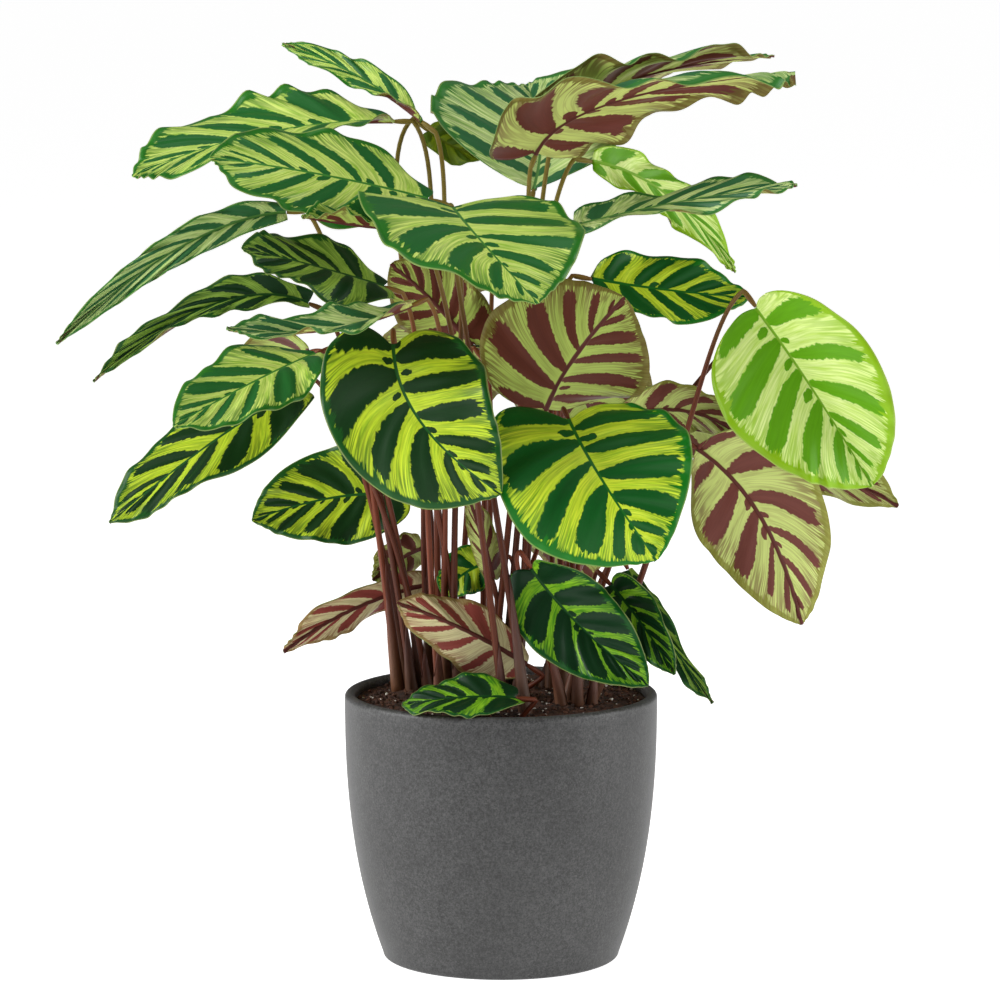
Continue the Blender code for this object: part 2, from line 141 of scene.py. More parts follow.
class Graph:
    """One material's node tree, built by expressions."""

    def __init__(self, name: str) -> None:
        """Start a material with its Principled shader.

        Args:
            name: The material's name.
        """
        self.material = bpy.data.materials.new(name)
        self.material.use_nodes = True
        self.tree = self.material.node_tree
        self.shader = self.tree.nodes["Principled BSDF"]

    def node(self, kind: str, settings: dict[str, Any], inputs: dict[Any, Value]) -> bpy.types.Node:
        """Make any node.

        Args:
            kind: The node's Blender type.
            settings: Its properties, set first.
            inputs: Values or links by socket name or number.

        Returns:
            The new node.
        """
        made = self.tree.nodes.new(kind)
        for key, setting in settings.items():
            setattr(made, key, setting)
        for key, value in inputs.items():
            self.feed(made.inputs[key], value)
        return made

    def feed(self, socket: bpy.types.NodeSocket, value: Value) -> None:
        """Link a signal to a socket, or set its value.

        Args:
            socket: The input socket.
            value: A signal, a number or a tuple.
        """
        if isinstance(value, Signal):
            self.tree.links.new(value.socket, socket)
        else:
            socket.default_value = value

    def maths(self, operation: str, *values: Value) -> Signal:
        """Put one or two values through a Math node."""
        made = self.node("ShaderNodeMath", {"operation": operation}, dict(enumerate(values)))
        return Signal(self, made.outputs[0])

    def mix(self, factor: Value, first: Value, second: Value) -> Signal:
        """Mix two colours, from first at factor 0 to second at factor 1."""
        made = self.node("ShaderNodeMix", {"data_type": "RGBA"}, {0: factor, 6: first, 7: second})
        return Signal(self, made.outputs[2])

    def shade(self, colour: Value, amount: Value) -> Signal:
        """Multiply a colour by a grey amount.

        Args:
            colour: The colour.
            amount: The number that each of its parts is multiplied by.

        Returns:
            The darker or lighter colour.
        """
        plain = colour if isinstance(colour, Signal) else colour[:3]
        made = self.node("ShaderNodeVectorMath", {"operation": "SCALE"}, {0: plain, 3: amount})
        return Signal(self, made.outputs[0])

    def place(self, x: Value, y: Value, z: Value = 0.0) -> Signal:
        """Join three numbers into a place for a texture."""
        made = self.node("ShaderNodeCombineXYZ", {}, {0: x, 1: y, 2: z})
        return Signal(self, made.outputs[0])

    def parts(self, vector: Value) -> tuple[Signal, Signal, Signal]:
        """Split a vector into its three numbers."""
        made = self.node("ShaderNodeSeparateXYZ", {}, {0: vector})
        return tuple(Signal(self, output) for output in made.outputs)

    def map(self, name: str) -> tuple[Signal, Signal]:
        """Read one of the piece's own UV maps as two numbers."""
        made = self.node("ShaderNodeUVMap", {"uv_map": name}, {})
        across, along, _ = self.parts(Signal(self, made.outputs[0]))
        return across, along

    def here(self) -> Signal:
        """Read the place on the object."""
        made = self.node("ShaderNodeTexCoord", {}, {})
        return Signal(self, made.outputs["Object"])

    def cloud(self, where: Value, scale: float, detail: float = 1.0, rough: float = 0.5) -> Signal:
        """Read smooth noise, 0 to 1; detail counts its finer layers, rough is their strength."""
        made = self.node("ShaderNodeTexNoise", {"noise_dimensions": "3D"},
                         {"Vector": where, "Scale": scale, "Detail": detail, "Roughness": rough})
        return Signal(self, made.outputs[0])

    def dice(self, where: Value) -> Signal:
        """Read one chance number, 0 to 1, for each whole-number place."""
        made = self.node("ShaderNodeTexWhiteNoise", {"noise_dimensions": "3D"}, {"Vector": where})
        return Signal(self, made.outputs[0])

    def bump(self, height: Value, depth_mm: float, strength: float = 1.0) -> Signal:
        """Turn a height, 0 to 1, into a normal, with depth_mm for a height of 1."""
        made = self.node("ShaderNodeBump", {},
                         {"Strength": strength, "Distance": depth_mm * MM, "Height": height})
        return Signal(self, made.outputs[0])

    def finish(self, **sockets: Value) -> bpy.types.Material:
        """Set the shader's sockets and return the material.

        Args:
            **sockets: Values or links by socket name, with _ for a space.

        Returns:
            The finished material.
        """
        for key, value in sockets.items():
            self.feed(self.shader.inputs[key.replace("_", " ")], value)
        return self.material


@dataclass(frozen=True)
class LeafTone:
    """The colours of a leaf's two sides.

    ground is the yellow-green between the patches and streak its variation. The under_ ones are
    the same on the underside. fill is a patch's half breadth as a share of the veins' spacing,
    and under_fill that of the underside's patches.
    """

    ground: Colour
    streak: Colour
    patch: Colour
    edge: Colour
    rib: Colour
    under_ground: Colour = tint(164, 184, 88)
    under_patch: Colour = tint(88, 42, 30)
    under_edge: Colour = tint(98, 82, 32)
    gloss: float = 0.38
    fill: float = 0.32
    under_fill: float = 0.27


class Tone(Enum):
    """The leaf tones that the plant has; the pale backlit tone is painted light and SHADE is
    painted shade.
    """

    DEEP = LeafTone(tint(192, 212, 48), tint(142, 176, 34), tint(12, 48, 14), tint(18, 72, 20),
                    tint(24, 78, 28))
    VIVID = LeafTone(tint(206, 222, 56), tint(160, 196, 34), tint(8, 78, 22), tint(16, 104, 18),
                     tint(20, 96, 26))
    PALE = LeafTone(tint(210, 224, 156), tint(160, 194, 98), tint(46, 100, 58), tint(50, 112, 44),
                    tint(90, 140, 70), under_ground=tint(190, 200, 112),
                    under_patch=tint(98, 48, 40), gloss=0.34, fill=0.27)
    SOFT = LeafTone(tint(210, 226, 120), tint(152, 192, 62), tint(30, 94, 38), tint(38, 106, 28),
                    tint(60, 124, 46), gloss=0.34, fill=0.27)
    # Painted light: these pale, bright colours stand in for light shining through the blade from
    # behind.
    LIGHT = LeafTone(tint(214, 230, 150), tint(182, 212, 96), tint(88, 148, 14),
                     tint(130, 174, 20), tint(112, 160, 34), gloss=0.34, fill=0.25)
    SHADE = LeafTone(tint(150, 182, 74), tint(110, 150, 50), tint(14, 52, 22), tint(30, 80, 26),
                     tint(34, 80, 32), fill=0.3)
    DARK = LeafTone(tint(132, 182, 36), tint(66, 130, 24), tint(8, 44, 18), tint(12, 72, 20),
                    tint(12, 60, 20), fill=0.38)
    LIME = LeafTone(tint(128, 148, 30), tint(106, 132, 22), tint(72, 98, 18),
                    tint(84, 110, 20), tint(96, 114, 26), under_ground=tint(130, 146, 40),
                    under_patch=tint(90, 98, 26), fill=0.25)
    PINK = LeafTone(tint(180, 198, 74), tint(146, 178, 52), tint(24, 76, 34), tint(40, 92, 34),
                    tint(60, 106, 40), under_ground=tint(190, 204, 118),
                    under_patch=tint(104, 56, 48), under_edge=tint(124, 124, 46),
                    under_fill=0.23)
    ROSY = replace(PINK, under_ground=tint(216, 208, 158), under_patch=tint(138, 66, 58),
                   under_edge=tint(130, 104, 56), under_fill=0.25)


@dataclass(frozen=True)
class PatternLayout:
    """How a blade's patches lie, in shares of the side veins' spacing and of their length.

    The numbers named uneven are how much chance or noise moves the one before. side_lag sets the
    left side's patches between the right side's. The rib's half breadths are millimetres. Each
    noise has how fine it is along the midrib and along the veins, a number of its own, and its
    finer layers and how strong they are.
    """

    side_lag: float = 0.46
    drift: float = 0.5
    patch_end: float = 0.97
    end_uneven: float = 0.13
    ragged: float = 0.24
    tip_shrink: float = 0.22
    fill_uneven: float = 0.16
    nick: float = 0.15
    spot_out: float = 0.1
    spot_length: float = 0.09
    spot_half: float = 0.13
    spot_chance: float = 0.45
    spot_nick: float = 1.8
    spots_end: float = 0.86
    edge_start: float = 0.935
    tooth: float = 0.42
    rim_start: float = 0.982
    rib_mm: float = 1.15
    under_rib_mm: float = 1.7
    line_strength: float = 0.7
    patch_soft: float = 0.035
    spot_soft: float = 0.2
    edge_soft: float = 0.025
    drift_noise: tuple[float, ...] = (0.55, 0.9, 3.0)
    fine_noise: tuple[float, ...] = (13.0, 0.8, 7.0, 2.0)
    nick_noise: tuple[float, ...] = (6.0, 16.0, 11.0, 2.0)
    tooth_noise: tuple[float, ...] = (9.0, 0.6, 19.0, 3.0, 0.7)
    stroke_noise: tuple[float, ...] = (13.0, 1.3, 23.0)
    streak_noise: tuple[float, ...] = (17.0, 2.2, 29.0, 3.0, 0.65)


class LeafSkin:
    """The patterned skins of a blade's upper side and underside."""

    layout = PatternLayout()
    rim = tint(176, 186, 110)
    under_rib = tint(84, 40, 34)

    def __init__(self, tone: Tone) -> None:
        """Make both skins of a tone.

        Args:
            tone: The leaf's tone.
        """
        self.tone = tone.value
        name = tone.name.lower()
        self.upper = self.make_upper(Graph(f"blade_upper_{name}"))
        self.under = self.make_under(Graph(f"blade_under_{name}"))

    def masks(self, graph: Graph, fill: float) -> dict[str, Signal]:
        """Lay out the pattern from the blade's own maps.

        Args:
            graph: The material's graph.
            fill: The patches' half breadth as a share of the veins' spacing.

        Returns:
            The masks patch, edge, line and rib, the noises streak and fine, and how far out the
            place is, as a share of the side vein (out) and in millimetres (reach).
        """
        lay = self.layout
        vein, signed = graph.map("pattern")
        q, half_width = graph.map("place")
        out = abs(signed)
        side = signed < 0.0
        start = vein + side * lay.side_lag

        def flow(of: Signal, along: float, across: float, own: float, *layers: float) -> Signal:
            """Return noise that follows the side veins, different on the two sides."""
            return graph.cloud(graph.place(of * along, out * across, side * own), 1.0, *layers)

        def chance(of: Signal, kind: float) -> Signal:
            """Return a chance number for each patch or gap of each side."""
            return graph.dice(graph.place(of, side * 5.0 + kind))

        place = start + (flow(start, *lay.drift_noise) - 0.5) * lay.drift
        number = place.floor()
        inside = place - number - 0.5
        fine = flow(place, *lay.fine_noise)
        nick = flow(place, *lay.nick_noise)
        end = lay.patch_end - lay.tip_shrink * q.rise(0.55, 1.0) * q
        end = end - chance(number, 2.0) * lay.end_uneven + (fine - 0.5) * lay.ragged
        share = (out / end).most(0.0).least(1.0)
        profile = (share ** 0.3) * ((1.0 - share) ** 0.22) * 1.44
        half = profile * (fill + (chance(number, 9.0) - 0.5) * lay.fill_uneven)
        half = half + (nick - 0.5) * lay.nick
        patch = (half - abs(inside)).rise(0.0, lay.patch_soft)

        between = (place + 0.5).floor()
        luck = chance(between, 31.0)
        size = 0.7 + chance(between, 47.0) * 0.6
        across = (place - between + (luck - 0.5) * 0.2) / (lay.spot_half * size)
        along = (out - lay.spot_out * (0.5 + 1.6 * luck)) / (lay.spot_length * size)
        spot = 1.0 - (across * across + along * along) - (nick - 0.5) * lay.spot_nick
        spot = spot.rise(0.0, lay.spot_soft) * (luck < lay.spot_chance) * (q < lay.spots_end)
        patch = patch.most(spot)

        teeth = flow(place, *lay.tooth_noise)
        reach_in = (teeth - 0.5).most(0.0) * lay.tooth + 0.03 * fine
        edge = out - lay.edge_start + reach_in * 1.6 + 0.05 * q.rise(0.85, 1.0)
        edge = edge.rise(0.0, lay.edge_soft)

        strokes = flow(place, *lay.stroke_noise)
        thin = 1.0 - abs(strokes - 0.5).rise(0.015, 0.11)
        line = thin * (0.35 + 0.65 * out.rise(0.4, 0.95)) * out.rise(0.02, 0.15)
        line = line * lay.line_strength

        reach = out * half_width * 100.0
        thick = lay.rib_mm * (1.45 - 0.95 * q)
        rib = 1.0 - reach.rise(thick * 0.6, thick)
        streak = flow(place, *lay.streak_noise)
        return {"patch": patch, "edge": edge, "line": line, "rib": rib, "streak": streak,
                "out": out, "reach": reach, "fine": fine}

    def make_upper(self, graph: Graph) -> bpy.types.Material:
        """Make the upper side's skin.

        Args:
            graph: A new material's graph.

        Returns:
            The material.
        """
        tone = self.tone
        m = self.masks(graph, tone.fill)
        ground = graph.mix(m["streak"].rise(0.35, 0.7), tone.ground, tone.streak)
        ground = graph.mix(m["line"], ground, tone.edge)
        patch = graph.shade(tone.patch, 0.8 + 0.45 * m["streak"])
        colour = graph.mix(m["patch"], ground, patch)
        colour = graph.mix(m["edge"], colour, tone.edge)
        rim = m["out"].rise(self.layout.rim_start, 0.995)
        colour = graph.mix(rim * 0.4, colour, self.rim)
        colour = graph.mix(m["rib"], colour, tone.rib)
        relief = m["fine"] * 0.5 + m["streak"] * 0.5
        rough = tone.gloss + 0.1 * (m["streak"] - 0.5) + 0.06 * m["patch"]
        return graph.finish(Base_Color=colour, Roughness=rough, Specular_IOR_Level=0.18,
                            Normal=graph.bump(relief, 0.25, 0.6))

    def make_under(self, graph: Graph) -> bpy.types.Material:
        """Make the underside's skin.

        Args:
            graph: A new material's graph.

        Returns:
            The material.
        """
        tone = self.tone
        m = self.masks(graph, tone.under_fill)
        ground = graph.shade(tone.under_ground, 0.82 + 0.36 * m["streak"])
        ground = graph.mix(m["line"], ground, tone.under_patch)
        patch = graph.shade(tone.under_patch, 0.75 + 0.5 * m["streak"])
        colour = graph.mix(m["patch"], ground, patch)
        colour = graph.mix(m["edge"] * 0.85, colour, tone.under_edge)
        rib = 1.0 - m["reach"].rise(1.0, self.layout.under_rib_mm)
        colour = graph.mix(rib, colour, self.under_rib)
        relief = m["fine"] * 0.6 + m["streak"] * 0.4
        rough = 0.5 + 0.12 * (m["streak"] - 0.5)
        return graph.finish(Base_Color=colour, Roughness=rough, Specular_IOR_Level=0.15,
                            Normal=graph.bump(relief, 0.3, 0.7))


class StalkSkin:
    """The satin maroon skin of the stalks and the papery brown of their sheaths."""

    maroons = (tint(76, 30, 17), tint(138, 70, 44))
    olives = (tint(96, 84, 28), tint(132, 120, 44))
    foot = tint(96, 58, 40)
    sheath_feet = (tint(88, 54, 34), tint(130, 86, 56))
    sheath_tops = (tint(76, 34, 26), tint(128, 70, 54))
    olive_from_m = 0.41
    olive_to_m = 0.53

    def __init__(self) -> None:
        """Make both skins."""
        self.stalk = self.make_stalk(Graph("stalk_skin"))
        self.sheath = self.make_sheath(Graph("sheath_skin"))

    def make_stalk(self, graph: Graph) -> bpy.types.Material:
        """Make the stalk's skin: each its own maroon, partly painted shade, and olive high up.

        Args:
            graph: A new material's graph.

        Returns:
            The material.
        """
        along, around = graph.map("stalk")
        grain = graph.cloud(graph.place(along * 3.0, around * 40.0), 1.0, 3.0, 0.6)
        blotch = graph.cloud(graph.place(along * 9.0, around * 2.0, 4.0), 1.0, 2.0)
        own = graph.dice(graph.place(around.floor(), 3.0))
        maroon = graph.mix(grain.rise(0.3, 0.7), *self.maroons)
        # Each stalk's maroon is darker or lighter at random; the darker ones also paint the shade
        # between the stalks of the clump.
        maroon = graph.shade(maroon, 0.4 + 0.75 * own)
        olive = graph.mix(grain, *self.olives)
        height = graph.parts(graph.here())[2]
        high = (height + 0.05 * (blotch - 0.5)).rise(self.olive_from_m, self.olive_to_m)
        colour = graph.mix(high * 0.85, maroon, olive)
        # The foot turns brown, a real colour, kept dark to paint part of the shade inside the
        # clump.
        foot = 1.0 - along.rise(0.0, 0.12)
        colour = graph.mix(foot * 0.4, colour, self.foot)
        return graph.finish(Base_Color=colour, Roughness=0.42 + 0.14 * (grain - 0.5),
                            Specular_IOR_Level=0.2, Normal=graph.bump(grain, 0.2, 0.6))

    def make_sheath(self, graph: Graph) -> bpy.types.Material:
        """Make the sheath's skin.

        Args:
            graph: A new material's graph.

        Returns:
            The material.
        """
        along, around = graph.map("stalk")
        grain = graph.cloud(graph.place(along * 2.0, around * 30.0), 1.0, 3.0, 0.6)
        own = graph.dice(graph.place(around.floor(), 3.0))
        low = graph.mix(grain, *self.sheath_feet)
        high = graph.mix(grain, *self.sheath_tops)
        colour = graph.mix(along.rise(0.1, 0.8), low, high)
        colour = graph.shade(colour, 0.5 + 0.7 * own)
        return graph.finish(Base_Color=colour, Roughness=0.55, Normal=graph.bump(grain, 0.3, 0.7))


class ClaySkin:
    """The planter's matte stone-grey clay with fine dark and light specks, a painted highlight on
    its lip and painted light on its shaded inner wall.
    """

    clays = (tint(45, 45, 45), tint(54, 54, 54))
    dark_speck = tint(24, 24, 24)
    light_speck = tint(96, 96, 94)
    painted_rim_light_from_m = 0.179
    painted_rim_light_to_m = 0.1865
    inside_m = 0.1035
    outside_m = 0.1065

    def __init__(self) -> None:
        """Make the skin."""
        graph = Graph("planter_clay")
        here = graph.here()
        large = graph.cloud(here, 14.0, 3.0)
        grain = graph.cloud(here, 430.0, 3.0, 0.75)
        patchy = graph.cloud(here, 110.0, 2.0)
        specks = graph.cloud(here, 900.0, 1.0)
        colour = graph.mix(large.rise(0.3, 0.7), *self.clays)
        # Painted light: the top of the lip is lightened as a painted highlight, and the inner wall
        # above the soil more strongly, as painted light on a wall that lies in shade.
        x, y, height = graph.parts(here)
        inner = 1.0 - (x * x + y * y).rise(self.inside_m ** 2, self.outside_m ** 2)
        lip = height.rise(self.painted_rim_light_from_m, self.painted_rim_light_to_m)
        colour = graph.shade(colour, 1.0 + lip * (0.35 + 1.1 * inner))
        mottle = 1.0 + 4.0 * (grain - 0.5) + 0.8 * (patchy - 0.5)
        colour = graph.shade(colour, mottle.most(0.3))
        colour = graph.mix(specks.rise(0.56, 0.66) * 0.75, colour, self.dark_speck)
        colour = graph.mix((1.0 - specks).rise(0.6, 0.72) * 0.3, colour, self.light_speck)
        rough = 0.5 + 0.2 * (grain - 0.5)
        self.material = graph.finish(Base_Color=colour, Roughness=rough,
                                     Normal=graph.bump(grain, 0.25, 0.5))


class EarthSkin:
    """The finishes of the soil: its dark earth, its loose crumbs and its white grains."""

    earths = (tint(36, 21, 14), tint(86, 51, 33))
    crumbs = (tint(44, 26, 18), tint(98, 60, 40))
    whites = (tint(196, 190, 178), tint(236, 232, 224))

    def __init__(self) -> None:
        """Make the three finishes."""
        self.soil = self.make_soil(Graph("soil_earth"))
        self.crumb = self.make_grains(Graph("soil_crumb"), self.crumbs, 0.9)
        self.white = self.make_grains(Graph("soil_white"), self.whites, 0.85)

    def make_soil(self, graph: Graph) -> bpy.types.Material:
        """Make the soil's own finish.

        Args:
            graph: A new material's graph.

        Returns:
            The material.
        """
        here = graph.here()
        lump = graph.cloud(here, 160.0, 4.0, 0.7)
        grain = graph.cloud(here, 900.0, 3.0, 0.7)
        colour = graph.mix(lump.rise(0.35, 0.7), *self.earths)
        colour = graph.shade(colour, 0.6 + 0.8 * grain)
        return graph.finish(Base_Color=colour, Roughness=0.95, Normal=graph.bump(grain, 0.8, 1.0))

    @staticmethod
    def make_grains(graph: Graph, colours: tuple[Colour, Colour],
                    rough: float) -> bpy.types.Material:
        """Make the finish of loose grains.

        Args:
            graph: A new material's graph.
            colours: The colours of the darkest and the lightest grains.
            rough: The roughness.

        Returns:
            The material.
        """
        here = graph.here()
        lump = graph.cloud(here, 120.0, 2.0)
        grain = graph.cloud(here, 1400.0, 2.0)
        colour = graph.shade(graph.mix(lump.rise(0.3, 0.7), *colours), 0.8 + 0.4 * grain)
        return graph.finish(Base_Color=colour, Roughness=rough, Normal=graph.bump(grain, 0.3, 0.8))


class Maker:
    """What every sub-assembly uses to put its pieces into the scene."""

    @staticmethod
    def add(name: str, mesh: bpy.types.Mesh, skins: Sequence[bpy.types.Material], slot: str,
            stands_for: Iterable[str] = ()) -> bpy.types.Object:
        """Put a finished mesh into the scene as a piece of the object.

        Args:
            name: The piece's name.
            mesh: Its mesh, with its place in its vertices.
            skins: Its materials.
            slot: The record's material slot; not used.
            stands_for: The CAD nodes that it replaces.

        Returns:
            The new object.
        """
        for skin in skins:
            mesh.materials.append(skin)
        piece = bpy.data.objects.new(name, mesh)
        bpy.context.scene.collection.objects.link(piece)
        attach(piece, BODY)
        if stands_for:
            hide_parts(*stands_for)
        LOG.info("%s: %d faces", name, len(mesh.polygons))
        return piece

    @staticmethod
    def to_mesh(name: str, shape: bmesh.types.BMesh, smooth: bool = True) -> bpy.types.Mesh:
        """Turn a bmesh into a mesh and free it.

        Args:
            name: The mesh's name.
            shape: The bmesh.
            smooth: Whether its faces are shaded smooth.

        Returns:
            The mesh.
        """
        mesh = bpy.data.meshes.new(name)
        shape.to_mesh(mesh)
        shape.free()
        if smooth:
            mesh.shade_smooth()
        return mesh


@dataclass
class Planter(Maker):
    """The turned planter: a bellied wall, a rounded lip and a small round at its flat foot."""

    height: float = 189.0
    radius: float = 110.0
    foot_radius: float = 82.5
    belly: float = 2.55
    wall: float = 7.5
    floor: float = 9.0
    foot_round: float = 3.0
    shoulder: float = 16.0
    instep: float = 12.0
    inner_steps: int = 10
    lip_steps: int = 14
    wall_steps: int = 26
    foot_steps: int = 6
    sides: int = 160

    def outside(self, z: float) -> float:
        """Return the outer radius at height z."""
        narrowing = (1.0 - z / self.height) ** self.belly
        return self.radius - (self.radius - self.foot_radius) * narrowing

    @staticmethod
    def arc(centre: tuple[float, float], radius: float, start: float, end: float,
            steps: int) -> list[tuple[float, float]]:
        """Return a round corner's points, from the start to the end angle in degrees."""
        turns = [math.radians(angle) for angle in spread(start, end, steps)]
        return [(centre[0] + radius * math.cos(a), centre[1] + radius * math.sin(a)) for a in turns]

    def profile(self) -> list[tuple[float, float]]:
        """Return the turned outline from the inner floor's middle to the foot's middle."""
        lip = self.wall / 2.0
        top = self.height - self.shoulder
        corner = (self.outside(self.foot_round) - self.foot_round, self.foot_round)
        points = [(0.0, self.floor)]
        inner = spread(self.floor, top, self.inner_steps)
        points += [(self.outside(z) - self.wall, z) for z in inner]
        points += self.arc((self.radius - lip, self.height - lip), lip, 180.0, 0.0, self.lip_steps)
        points += [(self.outside(z), z) for z in spread(top, self.instep, self.wall_steps)]
        points += self.arc(corner, self.foot_round, 0.0, -90.0, self.foot_steps)
        return points + [(0.0, 0.0)]

    def build(self, skin: ClaySkin) -> None:
        """Turn the profile and dress it.

        Args:
            skin: The clay.
        """
        shape = bmesh.new()
        corners = [shape.verts.new((r * MM, 0.0, z * MM)) for r, z in self.profile()]
        edges = [shape.edges.new(pair) for pair in zip(corners, corners[1:])]
        bmesh.ops.spin(shape, geom=corners + edges, cent=(0, 0, 0), axis=(0, 0, 1),
                       angle=math.tau, steps=self.sides, use_merge=True)
        bmesh.ops.remove_doubles(shape, verts=shape.verts, dist=WELD_M)
        bmesh.ops.recalc_face_normals(shape, faces=shape.faces)
        self.add("planter", self.to_mesh("planter", shape), [skin.material], "planter", ["pot"])


@dataclass
class PottingSoil(Maker):
    """The soil's lumpy top, a closed plug under it, and the loose crumbs and white grains.

    grain_turn and grain_tilt are a grain's greatest turn and tilt in radians.
    """

    planter: Planter
    level: float = 183.0
    edge: float = 100.0
    mound: float = 3.0
    lump: float = 1.6
    lump_size: float = 26.0
    fine: float = 1.5
    fine_size: float = 5.5
    gap: float = 0.3
    rings: int = 64
    sides: int = 200
    crumbs: int = 1500
    whites: int = 170
    seed: int = 11
    crumb_sizes: tuple[float, float] = (0.7, 2.6)
    white_sizes: tuple[float, float] = (0.8, 2.0)
    grain_uneven: float = 0.45
    grain_sunk: float = 0.35
    grain_turn: float = 6.28
    grain_tilt: float = 1.6

    def height(self, x: float, y: float) -> float:
        """Return the height of the soil's broad form."""
        place = Vector((x / self.lump_size, y / self.lump_size, 0.0))
        share = min(1.0, math.hypot(x, y) / self.edge)
        return self.level + self.mound * (1.0 - share * share) + self.lump * noise.noise(place)

    def rough_height(self, x: float, y: float) -> float:
        """Return the height with its fine lumps."""
        place = Vector((x / self.fine_size, y / self.fine_size, 3.0))
        fade = 1.0 - ramp(math.hypot(x, y), self.edge - 4.0, self.edge + 2.0)
        return self.height(x, y) + fade * self.fine * noise.fractal(place, 0.8, 2.0, 3)

    def build(self, skin: EarthSkin) -> None:
        """Make the soil and its grains.

        Args:
            skin: The soil's finishes.
        """
        reach = self.planter.outside(self.level) - self.planter.wall - self.gap
        shape = bmesh.new()
        bmesh.ops.create_grid(shape, x_segments=self.rings, y_segments=self.sides, size=0.5)
        for vertex in shape.verts:
            radius = reach * (vertex.co.x + 0.5)
            turn = math.tau * vertex.co.y
            x, y = radius * math.cos(turn), radius * math.sin(turn)
            vertex.co = Vector((x, y, self.rough_height(x, y))) * MM
        bmesh.ops.remove_doubles(shape, verts=shape.verts, dist=WELD_M)
        rim = [edge for edge in shape.edges if edge.is_boundary]
        walls = bmesh.ops.extrude_edge_only(shape, edges=rim)["geom"]
        low = {item for item in walls if isinstance(item, bmesh.types.BMVert)}
        foot = self.planter.floor + self.gap
        narrow = (self.planter.outside(foot) - self.planter.wall - self.gap) / reach
        for vertex in low:
            vertex.co = Vector((vertex.co.x * narrow, vertex.co.y * narrow, foot * MM))
        bottom = [item for item in walls if isinstance(item, bmesh.types.BMEdge)
                  and low.issuperset(item.verts)]
        bmesh.ops.holes_fill(shape, edges=bottom, sides=0)
        bmesh.ops.recalc_face_normals(shape, faces=shape.faces)
        self.add("soil_top", self.to_mesh("soil_top", shape), [skin.soil], "soil", ["soil"])
        self.scatter("soil_crumbs", self.crumbs, self.crumb_sizes, skin.crumb, self.seed)
        self.scatter("soil_whites", self.whites, self.white_sizes, skin.white, self.seed + 1)

    def scatter(self, name: str, count: int, sizes: tuple[float, float],
                skin: bpy.types.Material, seed: int) -> None:
        """Strew loose grains over the soil, each sunk half into it.

        Args:
            name: The piece's name.
            count: How many grains.
            sizes: The smallest and largest half length.
            skin: Their finish.
            seed: The seed of their places.
        """
        draw = random.Random(seed)
        shape = bmesh.new()
        for _ in range(count):
            radius = (self.edge + 0.5) * math.sqrt(draw.random())
            turn = math.tau * draw.random()
            x, y = radius * math.cos(turn), radius * math.sin(turn)
            size = sizes[0] + (sizes[1] - sizes[0]) * draw.random() ** 2.2
            made = bmesh.ops.create_icosphere(shape, subdivisions=1, radius=size * MM)["verts"]
            shift = Vector((draw.random(), draw.random(), draw.random())) * 50.0
            for vertex in made:
                place = vertex.co / (size * MM) * 1.3 + shift
                vertex.co *= 1.0 + self.grain_uneven * noise.noise(place)
            flat = (1.0, 0.55 + 0.4 * draw.random(), 0.35 + 0.45 * draw.random())
            bmesh.ops.scale(shape, verts=made, vec=flat)
            spin = Matrix.Rotation(draw.random() * self.grain_turn, 3, "Z")
            spin = spin @ Matrix.Rotation((draw.random() - 0.5) * self.grain_tilt, 3, "X")
            bmesh.ops.rotate(shape, verts=made, cent=(0, 0, 0), matrix=spin)
            lift = self.rough_height(x, y) + size * flat[2] * self.grain_sunk
            bmesh.ops.translate(shape, verts=made, vec=Vector((x, y, lift)) * MM)
        self.add(name, self.to_mesh(name, shape), [skin], "soil")


@dataclass(frozen=True)
class Leaf:
    """One leaf: three places on its midrib, where its upper side looks, and how it is bent.

    The shape fields are those of the solid model; heart is how full the blade's base is. The
    rest are looks: tone and patches for the pattern, crisp and crisps for the height and number
    of the margin's small waves, and roll for how far the outer margins turn down.
    """

    base: Triple
    middle: Triple
    tip: Triple
    width: float
    face: Triple
    tone: Tone = Tone.VIVID
    twist: float = 0.0
    fold: float = 12.0
    curl: float = -10.0
    wave: float = 5.0
    waves: float = 2.5
    phase: float = 0.0
    arrive: float = 0.12
    climb: float = 0.45
    lean: float = 0.12
    patches: float = 6.0
    heart: float = 0.07
    crisp: float = 2.2
    crisps: float = 7.0
    roll: float = 0.0


@dataclass(frozen=True)
class ShootPlan:
    """A crown in the soil and the leaves whose stalks grow from it."""

    crown: tuple[float, float]
    leaves: tuple[Leaf, ...]


